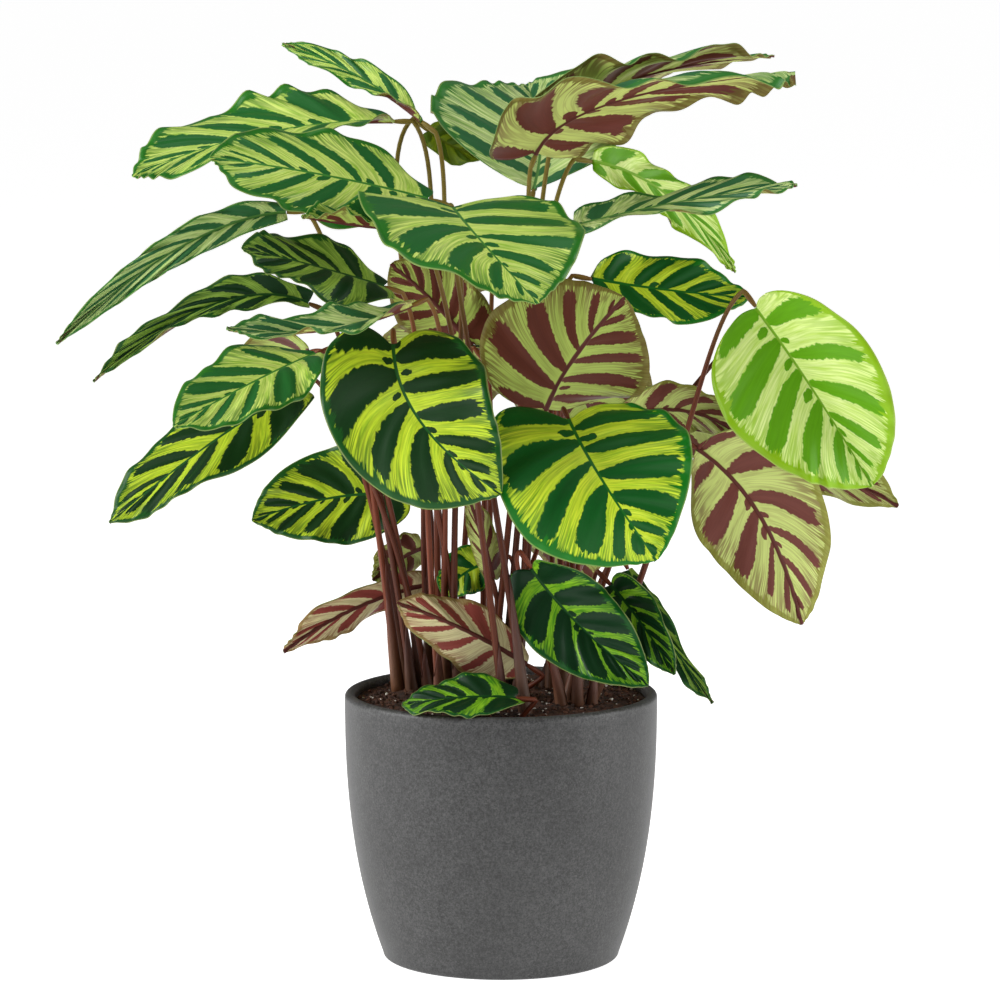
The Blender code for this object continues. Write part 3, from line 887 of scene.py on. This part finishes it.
PLANS = (
    ShootPlan((-61.0, 30.0), (
        Leaf((-150, 15, 525), (-224, 0, 501), (-307, -30, 437), 28, (0.41, -0.82, 0.39), Tone.PALE,
             fold=40, crisp=4.5, crisps=8, patches=8),
        Leaf((-134, 0, 463), (-200, -18, 463), (-280, -50, 413), 27, (0.25, -0.71, 0.66),
             Tone.SHADE, twist=20, fold=38, crisp=3.5, crisps=8, patches=8, heart=0.1),
        Leaf((-128, -30, 431), (-170, -63, 414), (-221, -105, 389), 74, (-0.37, -0.72, 0.59),
             Tone.SOFT, twist=-35, fold=9, heart=0.01),
        Leaf((-141, -10, 404), (-203, -35, 367), (-270, -50, 315), 66, (0.2, -0.5, 0.8),
             Tone.DEEP),
        Leaf((-135, 50, 425), (-165, 88, 410), (-190, 120, 375), 70, (0, 0.5, 0.85), Tone.VIVID),
    )),
    ShootPlan((-38.0, 54.0), (
        Leaf((-76, 40, 588), (-169, 26, 579), (-256, 2, 551), 94, (-0.07, -0.36, 0.93),
             Tone.SOFT, twist=-23, fold=16, crisp=5, crisps=7, patches=7, heart=0),
        Leaf((-55, 38, 588), (-104, 70, 619), (-156, 98, 639), 23, (-0.18, -0.63, 0.76), Tone.SOFT,
             twist=-106, fold=24, crisp=3, heart=0),
        Leaf((-51, 84, 578), (-34, 86, 567), (-12, 84, 560), 26, (0, -0.9, 0.4), Tone.LIME,
             patches=4, crisp=1),
        Leaf((-68, 55, 321), (-121, 60, 318), (-177, 50, 303), 72, (0, -0.9, 0.4), Tone.DEEP),
        Leaf((-54, 60, 256), (-108, 52, 238), (-155, 40, 210), 30, (0, 0.9, 0.4), Tone.ROSY),
        Leaf((-57, 62, 282), (-74, 67, 272), (-92, 64, 258), 32, (0, 0.9, 0.4), Tone.PINK,
             patches=4),
        Leaf((-26, 84, 425), (-40, 136, 405), (-46, 176, 345), 105, (0, 0.8, 0.5), Tone.DEEP),
    )),
    ShootPlan((-34.0, 2.0), (
        Leaf((-73, -90, 443), (-54, -133, 395), (0, -140, 347), 112, (-0.21, -0.93, 0.3),
             Tone.DEEP, twist=48, fold=8, heart=0.14),
        Leaf((-80, -38, 478), (-127, -65, 494), (-174, -104, 509), 60, (-0.06, -0.69, 0.73),
             Tone.SHADE, twist=-18, fold=5, patches=7, heart=0.09),
        Leaf((-62, -74, 468), (-119, -113, 455), (-182, -152, 459), 37, (-0.06, -0.4, 0.92),
             Tone.PALE, twist=-44, fold=26, heart=0.03),
        Leaf((-50, -20, 537), (-122, -48, 555), (-196, -90, 569), 80, (0, -0.75, 0.66), Tone.SOFT,
             twist=-31, fold=4, crisp=4, crisps=6, patches=7),
    )),
    ShootPlan((0.0, 45.0), (
        Leaf((23, 24, 541), (28, 96, 577), (18, 160, 608), 168, (-0.06, -0.4, 0.91), Tone.PALE,
             wave=3, fold=30, arrive=0.06, crisp=4, heart=0.015),
        Leaf((-20, 12, 432), (-48, 14, 463), (-77, 12, 489), 60, (0, 1, 0.2), Tone.VIVID),
        Leaf((-8, 18, 278), (-27, 17, 269), (-41, 15, 254), 34, (0, -0.9, 0.4), Tone.VIVID,
             patches=4),
        Leaf((-10, 70, 500), (-20, 130, 495), (-25, 190, 450), 110, (0, 0.5, 0.8), Tone.PALE),
        Leaf((40, 80, 305), (50, 118, 278), (60, 150, 240), 64, (0, 0.8, 0.5), Tone.DEEP),
    )),
    ShootPlan((2.0, -10.0), (
        Leaf((24, -15, 568), (76, -50, 605), (199, -70, 626), 96, (0, 0.36, 0.93), Tone.PALE,
             twist=26, fold=4, crisp=6, crisps=6, roll=9, heart=0.12),
        Leaf((38, 1, 578), (86, -11, 617), (188, -17, 635), 84, (0, 0.3, 0.95), Tone.PALE,
             twist=22, crisp=6, crisps=6, heart=0.18),
        Leaf((64, 5, 561), (118, 32, 535), (166, 52, 480), 36, (0, -0.8, 0.6), Tone.LIGHT,
             crisp=3, heart=0.03),
        Leaf((31, -22, 391), (51, -38, 429), (85, -50, 471), 126, (-0.07, 0.97, 0.24), Tone.VIVID,
             twist=-29, fold=24, heart=0.05),
        Leaf((-6, -7, 270), (-13, -11, 299), (-22, -17, 326), 34, (0, 1, 0), Tone.PINK,
             fold=60, patches=5),
        Leaf((17, -38, 214), (-27, -50, 241), (-72, -56, 260), 50, (-0.3, 0.9, -0.5), Tone.ROSY,
             fold=20, heart=0.03),
    )),
    ShootPlan((40.0, 38.0), (
        Leaf((51, 0, 517), (130, -35, 537), (201, -70, 549), 40, (0, -0.5, 0.9), Tone.PALE,
             patches=8, crisp=4, crisps=6),
        Leaf((64, 10, 479), (118, 20, 470), (175, 30, 464), 56, (0, -0.8, 0.6), Tone.VIVID,
             heart=0),
        Leaf((109, 24, 377), (198, 40, 354), (281, 30, 316), 58, (0, 0.9, 0.4), Tone.PINK),
        Leaf((83, 0, 382), (133, 6, 386), (177, 14, 360), 36, (0, 0.9, 0.4), Tone.PINK),
        Leaf((44, 75, 395), (62, 130, 380), (76, 170, 320), 100, (0, 0.8, 0.5), Tone.VIVID),
        Leaf((182, 76, 438), (212, 106, 415), (236, 130, 370), 76, (0, 0.7, 0.7), Tone.DEEP),
    )),
    ShootPlan((52.0, -24.0), (
        Leaf((174, -60, 465), (214, -71, 408), (254, -70, 343), 124, (-0.26, -0.96, 0.05),
             Tone.LIGHT, twist=-23, fold=35, lean=0.5, heart=0.02, crisp=3),
        Leaf((46, -80, 391), (68, -120, 354), (105, -126, 300), 136, (0, -0.94, 0.35), Tone.VIVID,
             twist=38, fold=6, climb=0.75, heart=0.18, crisp=3),
        Leaf((137, -25, 364), (181, -22, 315), (211, -5, 237), 94, (0.19, 0.98, 0.11), Tone.PINK,
             twist=-52, fold=14, heart=0),
        Leaf((76, -38, 270), (95, -51, 248), (120, -66, 212), 37, (-0.22, -0.97, 0.14), Tone.DARK,
             fold=26),
        Leaf((89, 5, 274), (114, -1, 231), (149, -10, 182), 24, (-0.47, -0.88, 0), Tone.SHADE,
             fold=28),
        Leaf((21, -50, 283), (55, -58, 244), (101, -82, 207), 68, (-0.28, -0.94, 0.19), Tone.DARK,
             twist=-42, fold=25),
    )),
    ShootPlan((12.0, -66.0), (
        Leaf((-33, -60, 534), (-14, -135, 517), (24, -195, 480), 152, (0.17, -0.4, 0.9),
             Tone.SOFT, crisp=3, heart=0.12),
        Leaf((-69, -66, 520), (-102, -82, 524), (-134, -100, 530), 34, (0, -0.35, 0.94),
             Tone.SOFT, fold=50, patches=5),
        Leaf((10, -84, 199), (-30, -90, 200), (-68, -82, 193), 42, (0, -0.5, 0.87), Tone.DARK,
             wave=3, patches=5, crisp=1.2),
    )),
)


class Rib:
    """A leaf's midrib: a parabola through its three places, with a frame carried along it."""

    def __init__(self, leaf: Leaf) -> None:
        """Work out the curve and its frame.

        Args:
            leaf: The leaf.
        """
        self.leaf = leaf
        self.base = Vector(leaf.base)
        self.tip = Vector(leaf.tip)
        self.handle = 2.0 * Vector(leaf.middle) - (self.base + self.tip) / 2.0
        self.length = sum((Vector(leaf.middle) - end).length for end in (self.base, self.tip))
        self.middle_along = self.along(0.5)
        face = Vector(leaf.face)
        self.middle_up = (face - face.dot(self.middle_along) * self.middle_along).normalized()

    def along(self, t: float) -> Vector:
        """Return the midrib's direction."""
        return ((self.handle - self.base) * (1.0 - t) + (self.tip - self.handle) * t).normalized()

    def point(self, t: float) -> Vector:
        """Return a place on the midrib."""
        return self.base.lerp(self.handle, t).lerp(self.handle.lerp(self.tip, t), t)

    def up(self, t: float) -> Vector:
        """Return the direction out of the upper side at the midrib."""
        along = self.along(t)
        carried = self.middle_along.rotation_difference(along) @ self.middle_up
        turn = Matrix.Rotation(math.radians(self.leaf.twist * (t - 0.5)), 3, along)
        return turn @ carried


@dataclass
class Blade(Maker):
    """A blade: a fine grid laid on the leaf's surface and given its thickness.

    buckle is the height of its broad unevenness, pleat that of the small ridges between its side
    veins, and groove how deep the midrib lies. The numbers named deep are for a base fuller than
    plain_heart. A leaf at least as wide as big_width gets the
    finer grid. Each leaf's pattern starts pattern_shift after the one before, and the underside
    lies bake_half beside the upper side on the map for baking.
    """

    name: str
    leaf: Leaf
    number: int
    plain_heart: float = 0.07
    widest: float = 0.42
    base_round: float = 0.5
    tip_fall: float = 2.1
    tip_round: float = 0.75
    tip_share: float = 0.03
    tip_reach: float = 1.2
    vein_sweep: float = 0.3
    base_sweep: float = 0.012
    deep_sweep: float = 0.35
    vein_straight: float = 0.65
    lobe_back: float = 0.05
    deep_lobe: float = 0.3
    lobe_fade: float = 7.0
    sinus: float = 0.08
    curl_share: float = 0.5
    side_shift: float = 0.2
    thickness: float = 0.5
    rib_thickness: float = 2.3
    rib_half: float = 1.7
    groove: float = 0.35
    groove_half: float = 1.6
    pleat: float = 0.45
    buckle: float = 2.2
    crumple_out: float = 2.6
    crumple_tip: float = 0.6
    width_uneven: float = 0.035
    roll_from: float = 0.7
    roll_in: float = 0.45
    big_width: float = 80.0
    big_grid: tuple[int, int] = (128, 40)
    small_grid: tuple[int, int] = (88, 28)
    pattern_shift: float = 40.0
    bake_half: float = 0.49

    def __post_init__(self) -> None:
        """Work out the midrib and how deep the lobes at the base are."""
        self.rib = Rib(self.leaf)
        self.squat = min(1.0, 1.6 * self.leaf.width / self.rib.length) ** 2
        self.flat = min(1.0, self.leaf.heart / self.plain_heart)
        self.deeper = max(0.0, self.leaf.heart - self.plain_heart)

    def half_width(self, x: float) -> float:
        """Return the outline's half width as a share of the widest, x from base to tip."""
        if x < self.widest:
            rise = max(0.0, x + self.leaf.heart) / (self.widest + self.leaf.heart)
            return math.sin(0.5 * math.pi * rise ** self.base_round)
        fall = ((x - self.widest) / (1.0 - self.widest)) ** self.tip_fall
        return max(self.tip_share, (1.0 - min(1.0, fall)) ** self.tip_round)

    def margin(self, q: float) -> float:
        """Return how far along the midrib the side vein that leaves it at q meets the margin."""
        bend = self.vein_sweep * math.sin(math.pi * q)
        back = self.base_sweep * self.flat + self.deep_sweep * self.deeper
        return min(1.0, q - self.squat * back * (1.0 - q) + bend)

    def reach(self, q: float) -> float:
        """Return the half width in millimetres where the side vein of q ends."""
        leaf = self.leaf
        return max(self.tip_reach, 0.5 * leaf.width * self.half_width(self.margin(q)))

    def vein_place(self, q: float) -> float:
        """Return the pattern's place along the blade, one whole number for each patch."""
        return self.leaf.patches * (0.82 * q + 0.18 * q * q)

    def surface(self, q: float, r: float) -> Vector:
        """Return a point of the upper side.

        Args:
            q: Where the point's side vein leaves the midrib, 0 at the base.
            r: How far out along that vein, -1 and 1 at the margins.

        Returns:
            The place in millimetres.
        """
        leaf = self.leaf
        out = abs(r)
        side = 1.0 if r >= 0.0 else -1.0
        margin = self.margin(q)
        x = q + (margin - q) * (self.vein_straight * out + (1.0 - self.vein_straight) * out * out)
        lobe = self.squat * (self.lobe_back * self.flat + self.deep_lobe * self.deeper)
        beside = max(0.0, out - self.sinus) / (1.0 - self.sinus)
        round_off = math.sin(math.pi * min(1.0, beside * 0.9)) ** 0.8
        x -= lobe * (1.0 - q) ** self.lobe_fade * round_off
        uneven = self.width_uneven * out * self.sway(q * 5.0, side * 4.0, 7.3, 1.7)
        reach = self.reach(q) * out * (1.0 + uneven)
        fullness = self.half_width(margin)
        slope = math.radians(leaf.fold + self.curl_share * leaf.curl * out)
        ripple = math.sin(math.tau * (leaf.waves * q + leaf.phase + self.side_shift * side))
        lift = reach * math.sin(slope) + leaf.wave * out * out * fullness * ripple
        lift += self.crumple(q, side) * out ** self.crumple_out * fullness ** self.crumple_tip
        lift += self.buckle * out * self.sway(q * 4.0, r * 1.7, 1.0, 9.0)
        pleats = math.cos(math.tau * (2.0 * self.vein_place(q) + 0.25 * side))
        lift += self.pleat * pleats * math.sin(math.pi * min(1.0, out * 1.05)) ** 0.8
        lift -= self.groove * math.exp(-(reach / self.groove_half) ** 2) * (1.0 - q)
        sideways = reach * math.cos(slope)
        outer = max(0.0, out - self.roll_from) / (1.0 - self.roll_from)
        turned = leaf.roll * ramp(q, 0.25, 0.6) * outer ** 2
        sideways -= turned * self.roll_in
        lift -= turned
        up = self.rib.up(x)
        across = up.cross(self.rib.along(x))
        return self.rib.point(x) + across * (side * sideways) + up * lift

    def sway(self, along: float, across: float, own: float, layer: float) -> float:
        """Return smooth noise, -1 to 1, which own makes different for each leaf."""
        return noise.noise(Vector((along + self.number * own, across, layer)))

    def crumple(self, q: float, side: float) -> float:
        """Return how far the margin's small waves lift it, in millimetres.

        Args:
            q: The place along the blade.
            side: Which margin, -1 or 1.

        Returns:
            The lift.
        """
        leaf = self.leaf
        wander = self.sway(q * 3.0, side * 2.0, 3.1, 0.0)
        swell = abs(self.sway(q * 5.0, side * 3.0, 1.7, 6.0))
        turn = math.sin(math.tau * (leaf.crisps * q + 0.37 * side + 1.3 * wander))
        return leaf.crisp * turn * (0.5 + 1.6 * swell)

    @staticmethod
    def column(share: float) -> float:
        """Return how far out a grid column lies; they are closer near the midrib."""
        out = abs(share)
        return math.copysign(0.35 * out + 0.65 * out ** 1.6, share)

    def build(self, skin: LeafSkin) -> None:
        """Lay the grid, map it, thicken it and dress it.

        Args:
            skin: The leaf's skins.
        """
        rows, columns = self.big_grid if self.leaf.width >= self.big_width else self.small_grid
        sheet = bmesh.new()
        bmesh.ops.create_grid(sheet, x_segments=rows, y_segments=columns, size=1.0)
        pattern = sheet.loops.layers.uv.new("pattern")
        place = sheet.loops.layers.uv.new("place")
        bake = sheet.loops.layers.uv.new("OFBake")
        weights = sheet.verts.layers.deform.verify()
        spots = {v: (0.5 * (v.co.x + 1.0), self.column(v.co.y)) for v in sheet.verts}
        for face in sheet.faces:
            for loop in face.loops:
                q, r = spots[loop.vert]
                loop[pattern].uv = (self.vein_place(q) + self.pattern_shift * self.number, r)
                loop[place].uv = (q, self.reach(q) / 100.0)
                loop[bake].uv = (0.255 + 0.235 * loop.vert.co.y, 0.015 + 0.97 * q)
        for vertex, (q, r) in spots.items():
            reach = self.reach(q) * abs(r)
            radius = self.rib_half * (1.0 - 0.7 * q)
            bulge = math.sqrt(max(0.0, 1.0 - (reach / radius) ** 2))
            vertex[weights][0] = bulge * (1.0 - 0.75 * q)
            vertex.co = self.surface(q, r) * MM
        bare = self.to_mesh(self.name, sheet)
        item = bpy.data.objects.new("bare_blade", bare)
        bpy.context.scene.collection.objects.link(item)
        item.vertex_groups.new(name="rib")
        shell = item.modifiers.new("thickness", "SOLIDIFY")
        shell.thickness = self.rib_thickness * MM
        shell.offset = -1.0
        shell.vertex_group = "rib"
        shell.thickness_vertex_group = self.thickness / self.rib_thickness
        shell.material_offset = 1
        shell.material_offset_rim = 0
        for side in (skin.upper, skin.under):
            bare.materials.append(side)
        bpy.context.view_layer.update()
        ready = item.evaluated_get(bpy.context.evaluated_depsgraph_get())
        mesh = bpy.data.meshes.new_from_object(ready)
        bpy.data.objects.remove(item, do_unlink=True)
        bpy.data.meshes.remove(bare)
        mesh.name = f"leaf_{self.name}"
        half_map = mesh.uv_layers["OFBake"].uv
        for polygon in mesh.polygons:
            if polygon.material_index == 1:
                for loop in polygon.loop_indices:
                    half_map[loop].vector.x += self.bake_half
        self.add(f"leaf_{self.name}", mesh, [], "blade", [f"blade_{self.name}"])


@dataclass(frozen=True)
class Stalk:
    """A stalk to be made: its line, its own number, and the bmesh and map that it goes into."""

    line: list[Station]
    own: float
    shape: bmesh.types.BMesh
    layer: Any


@dataclass
class Shoot(Maker):
    """One shoot: its crown, its stalks with their knees, and the sheaths at their feet.

    foot, neck, knee and tip are a stalk's radii, from the crown to the blade.
    """

    number: int
    plan: ShootPlan
    soil: PottingSoil
    crown_radius: float = 14.0
    crown_taper: float = 1.0
    crown_depth: float = 32.0
    crown_proud: float = -1.5
    crown_round: float = 3.0
    crown_sides: int = 32
    ring: float = 11.0
    sink: float = 9.0
    foot: float = 2.8
    neck: float = 1.6
    knee: float = 2.15
    tip: float = 1.25
    knee_length: float = 14.0
    knee_bend: float = 1.2
    blade_gap: float = 0.5
    rib_centre: float = 0.45
    rib_thickness: float = 2.4
    steps: int = 40
    knee_steps: int = 8
    sides: int = 12
    sheath_height: float = 105.0
    sheath_shares: tuple[float, ...] = (1.0, 0.55, 0.8, 0.4)
    sheath_round: float = 330.0
    sheath_slant: float = 0.75
    sheath_flare: float = 2.0
    sheath_gap: float = 0.35
    sheath_thickness: float = 0.3

    def crown_top(self) -> float:
        """Return the height of the crown's top."""
        return self.soil.height(*self.plan.crown) + self.crown_proud

    def roots(self) -> list[Vector]:
        """Return where the stalks start in the crown, spread round it in the leaves' own order."""
        x, y = self.plan.crown
        turns = [math.atan2(leaf.base[1] - y, leaf.base[0] - x) for leaf in self.plan.leaves]
        order = sorted(range(len(turns)), key=turns.__getitem__)
        places = {}
        for rank, place in enumerate(order):
            turn = turns[order[0]] + math.tau * rank / len(order)
            reach = self.ring * (0.6 if rank % 2 else 1.0)
            depth = self.crown_top() - self.sink
            places[place] = Vector((x + reach * math.cos(turn), y + reach * math.sin(turn), depth))
        return [places[place] for place in range(len(order))]

    def route(self, leaf: Leaf, root: Vector) -> list[Station]:
        """Return a stalk's line, from the crown to the blade.

        Args:
            leaf: The stalk's leaf.
            root: Where it starts.

        Returns:
            Places with a radius each.
        """
        rib = Rib(leaf)
        along = rib.along(0.0)
        end = rib.point(0.0) - rib.up(0.0) * (self.rib_centre * self.rib_thickness)
        end -= along * self.blade_gap
        height = (end - root).length
        outward = Vector((end.x - self.plan.crown[0], end.y - self.plan.crown[1], 0.0))
        if outward.length > 1.0:
            outward.normalize()
        handle = root + (UP + outward * leaf.lean) * (leaf.climb * height)
        knee = end - along * self.knee_length
        approach = (along + UP * self.knee_bend).normalized()
        last = knee - approach * (leaf.arrive * height)
        line = []
        for t in spread(0.0, 1.0, self.steps - self.knee_steps):
            s = 1.0 - t
            place = (root * s ** 3 + handle * (3.0 * s * s * t) + last * (3.0 * s * t * t)
                     + knee * t ** 3)
            radius = self.foot + (self.neck - self.foot) * min(1.0, 1.3 * t) ** 0.7
            line.append((place, radius))
        for t in spread(0.0, 1.0, self.knee_steps)[1:]:
            swell = math.sin(math.pi * min(1.0, t * 1.02)) ** 0.8
            radius = self.neck + (self.tip - self.neck) * t + (self.knee - self.neck) * swell
            line.append((knee.lerp(end, t), radius))
        return line

    def build(self, skin: StalkSkin) -> None:
        """Make the shoot's stalks and sheaths.

        Args:
            skin: The stalks' skins.
        """
        shape = bmesh.new()
        layer = shape.loops.layers.uv.new("stalk")
        x, y = self.plan.crown
        made = bmesh.ops.create_cone(shape, cap_ends=True, segments=self.crown_sides,
                                     depth=self.crown_depth * MM,
                                     radius1=(self.crown_radius - self.crown_taper) * MM,
                                     radius2=self.crown_radius * MM)["verts"]
        top = self.crown_top()
        middle = Vector((x, y, top - self.crown_depth / 2.0)) * MM
        bmesh.ops.translate(shape, verts=made, vec=middle)
        rim = [edge for edge in shape.edges
               if all(v.co.z > (top - 0.1) * MM for v in edge.verts)]
        bmesh.ops.bevel(shape, geom=rim, offset=self.crown_round * MM, segments=4, profile=0.5,
                        affect="EDGES", material=-1)
        lines = [self.route(leaf, root) for leaf, root in zip(self.plan.leaves, self.roots())]
        for place, line in enumerate(lines):
            stalk = Stalk(line, 10.0 * self.number + place, shape, layer)
            self.tube(stalk)
            self.sheath(stalk, self.sheath_shares[place % len(self.sheath_shares)])
        bmesh.ops.recalc_face_normals(shape, faces=shape.faces)
        name = f"stalks_{self.number}"
        self.add(name, self.to_mesh(name, shape), [skin.stalk, skin.sheath], "stalk",
                 [f"shoot_{self.number}"])

    @staticmethod
    def frames(line: list[Station]) -> list[tuple[Vector, Vector, Vector]]:
        """Carry a frame along a line without turning it.

        Args:
            line: Places with a radius each.

        Returns:
            For each place, its direction and two directions across it.
        """
        result = []
        across = Vector((1.0, 0.0, 0.0))
        for step in range(len(line)):
            before = line[max(0, step - 1)][0]
            after = line[min(len(line) - 1, step + 1)][0]
            along = (after - before).normalized()
            across = (across - across.dot(along) * along).normalized()
            result.append((along, across, along.cross(across)))
        return result

    def wrap(self, stalk: Stalk, steps: int,
             lay: Callable[[float, float], tuple[int, Vector, float, float]],
             ) -> tuple[list[bmesh.types.BMVert], list[bmesh.types.BMFace]]:
        """Wrap a grid round a stalk's line.

        Args:
            stalk: The stalk. Its map takes the place along and around, with its own number added.
            steps: How many steps the grid takes along the line.
            lay: Gives, for a grid point's height, 0 to 1, and its share of the way round, the
                step of the line, the middle there, the radius and the turn.

        Returns:
            The grid's vertices and faces.
        """
        frames = self.frames(stalk.line)
        verts = bmesh.ops.create_grid(stalk.shape, x_segments=steps, y_segments=self.sides,
                                      size=0.5)["verts"]
        faces = list(dict.fromkeys(face for vertex in verts for face in vertex.link_faces))
        for face in faces:
            for loop in face.loops:
                around = stalk.own + 0.5 + 0.9 * loop.vert.co.y
                loop[stalk.layer].uv = (loop.vert.co.x + 0.5, around)
        for vertex in verts:
            step, place, radius, turn = lay(vertex.co.x + 0.5, vertex.co.y)
            _, across, above = frames[step]
            vertex.co = (place + across * (radius * math.cos(turn))
                         + above * (radius * math.sin(turn))) * MM
        return verts, faces

    def tube(self, stalk: Stalk) -> None:
        """Make a stalk as a closed tube.

        Args:
            stalk: The stalk.
        """
        steps = len(stalk.line) - 1

        def lay(height: float, share: float) -> tuple[int, Vector, float, float]:
            """Return a grid point's step, middle, radius and turn."""
            step = round(height * steps)
            return step, *stalk.line[step], math.tau * share

        verts, faces = self.wrap(stalk, steps, lay)
        bmesh.ops.remove_doubles(stalk.shape, verts=verts, dist=WELD_M)
        rims = [edge for face in faces if face.is_valid for edge in face.edges
                if edge.is_boundary]
        bmesh.ops.holes_fill(stalk.shape, edges=list(set(rims)), sides=0)

    def sheath(self, stalk: Stalk, share: float) -> None:
        """Wrap an open sheath round a stalk's foot, with a slanted top.

        Args:
            stalk: The stalk.
            share: The sheath's height as a share of the full one.
        """
        line = stalk.line
        length = (line[1][0] - line[0][0]).length
        count = min(self.steps // 3, max(4, round(self.sheath_height * share / length)))

        def lay(height: float, around: float) -> tuple[int, Vector, float, float]:
            """Return a grid point's step, middle, radius and turn."""
            at = height * count
            step = min(len(line) - 2, int(at))
            place = line[step][0].lerp(line[step + 1][0], at - step)
            flare = self.sheath_flare * (1.0 - height) ** 0.8
            narrower = 1.0 - self.sheath_slant * height ** 2
            turn = around * math.radians(self.sheath_round) * narrower
            return step, place, line[step][1] + flare + self.sheath_gap, turn

        _, faces = self.wrap(stalk, count, lay)
        for face in faces:
            face.material_index = 1
        shell = bmesh.ops.solidify(stalk.shape, geom=faces,
                                   thickness=self.sheath_thickness * MM)
        for item in shell["geom"]:
            if isinstance(item, bmesh.types.BMFace):
                item.material_index = 1


@dataclass(frozen=True)
class SoftLight:
    """A square soft light: where it hangs and looks, in metres, its side and its watts."""

    name: str
    place: Triple
    target: Triple
    size: float
    power: float


@dataclass
class Studio:
    """The floor, the soft lights and the camera at the photograph's viewing angle."""

    camera_back_m: float = 3.2
    camera_height_m: float = 0.746
    camera_pitch: float = math.degrees(0.131)
    focal_pixels: float = 4609.0
    image_pixels: float = 1000.0
    middle_pixel: float = 501.0
    sensor_mm: float = 36.0
    floor_half_m: float = 80.0
    floor_glow: float = 0.82
    sky: float = 0.19
    lights: tuple[SoftLight, ...] = (
        SoftLight("key_light", (-2.4, -0.5, 1.3), (0.0, 0.0, 0.35), 1.5, 68.0),
        SoftLight("fill_light", (2.4, -0.4, 1.1), (0.0, 0.0, 0.3), 1.5, 40.0),
        SoftLight("top_light", (-0.3, -0.8, 2.6), (0.0, 0.0, 0.5), 1.6, 18.0),
    )

    def build(self) -> None:
        """Make the floor, the lights and the camera."""
        self.make_floor()
        for light in self.lights:
            self.make_light(light)
        self.make_world()
        self.make_camera()

    def make_floor(self) -> None:
        """Lay the pale floor."""
        shape = bmesh.new()
        bmesh.ops.create_grid(shape, x_segments=1, y_segments=1, size=self.floor_half_m)
        floor = bpy.data.objects.new("floor", Maker.to_mesh("floor", shape, smooth=False))
        bpy.context.scene.collection.objects.link(floor)
        graph = Graph("floor_paper")
        floor.data.materials.append(graph.finish(Base_Color=(0.9, 0.9, 0.9, 1.0), Roughness=0.9,
                                                 Emission_Color=(1.0, 1.0, 1.0, 1.0),
                                                 Emission_Strength=self.floor_glow))

    @staticmethod
    def make_light(light: SoftLight) -> None:
        """Hang a soft light.

        Args:
            light: Its place, size and power.
        """
        lamp = bpy.data.lights.new(light.name, "AREA")
        lamp.size = light.size
        lamp.energy = light.power
        item = bpy.data.objects.new(light.name, lamp)
        item.location = light.place
        look = Vector(light.target) - Vector(light.place)
        item.rotation_euler = look.to_track_quat("-Z", "Y").to_euler()
        bpy.context.scene.collection.objects.link(item)

    def make_world(self) -> None:
        """Fill the studio with even pale light."""
        world = bpy.data.worlds.new("studio")
        world.use_nodes = True
        back = world.node_tree.nodes["Background"]
        back.inputs["Color"].default_value = (1.0, 1.0, 1.0, 1.0)
        back.inputs["Strength"].default_value = self.sky
        bpy.context.scene.world = world
        bpy.context.scene.view_settings.view_transform = "Standard"

    def make_camera(self) -> None:
        """Set the camera."""
        lens = bpy.data.cameras.new("camera")
        lens.sensor_width = self.sensor_mm
        lens.lens = self.sensor_mm * self.focal_pixels / self.image_pixels
        lens.shift_x = -(self.middle_pixel - self.image_pixels / 2.0) / self.image_pixels
        lens.clip_end = 60.0
        item = bpy.data.objects.new("camera", lens)
        item.location = (0.0, -self.camera_back_m, self.camera_height_m)
        item.rotation_euler = (math.radians(90.0 - self.camera_pitch), 0.0, 0.0)
        bpy.context.scene.collection.objects.link(item)
        bpy.context.scene.camera = item


@dataclass
class PottedCalathea:
    """The whole plant in its planter."""

    plans: tuple[ShootPlan, ...] = PLANS

    def build(self) -> None:
        """Build every sub-assembly in order."""
        planter = Planter()
        planter.build(ClaySkin())
        soil = PottingSoil(planter)
        soil.build(EarthSkin())
        stalk_skin = StalkSkin()
        skins = {tone: LeafSkin(tone) for tone in Tone}
        count = 0
        for number, plan in enumerate(self.plans, start=1):
            Shoot(number, plan, soil).build(stalk_skin)
            for place, leaf in enumerate(plan.leaves, start=1):
                count += 1
                Blade(f"{number}_{place}", leaf, count).build(skins[leaf.tone])


def main() -> None:
    """Build the looks."""
    logging.basicConfig(level=logging.INFO, format="%(name)s %(message)s")
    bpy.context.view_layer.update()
    PottedCalathea().build()
    Studio().build()


if __name__ == "__main__":
    main()
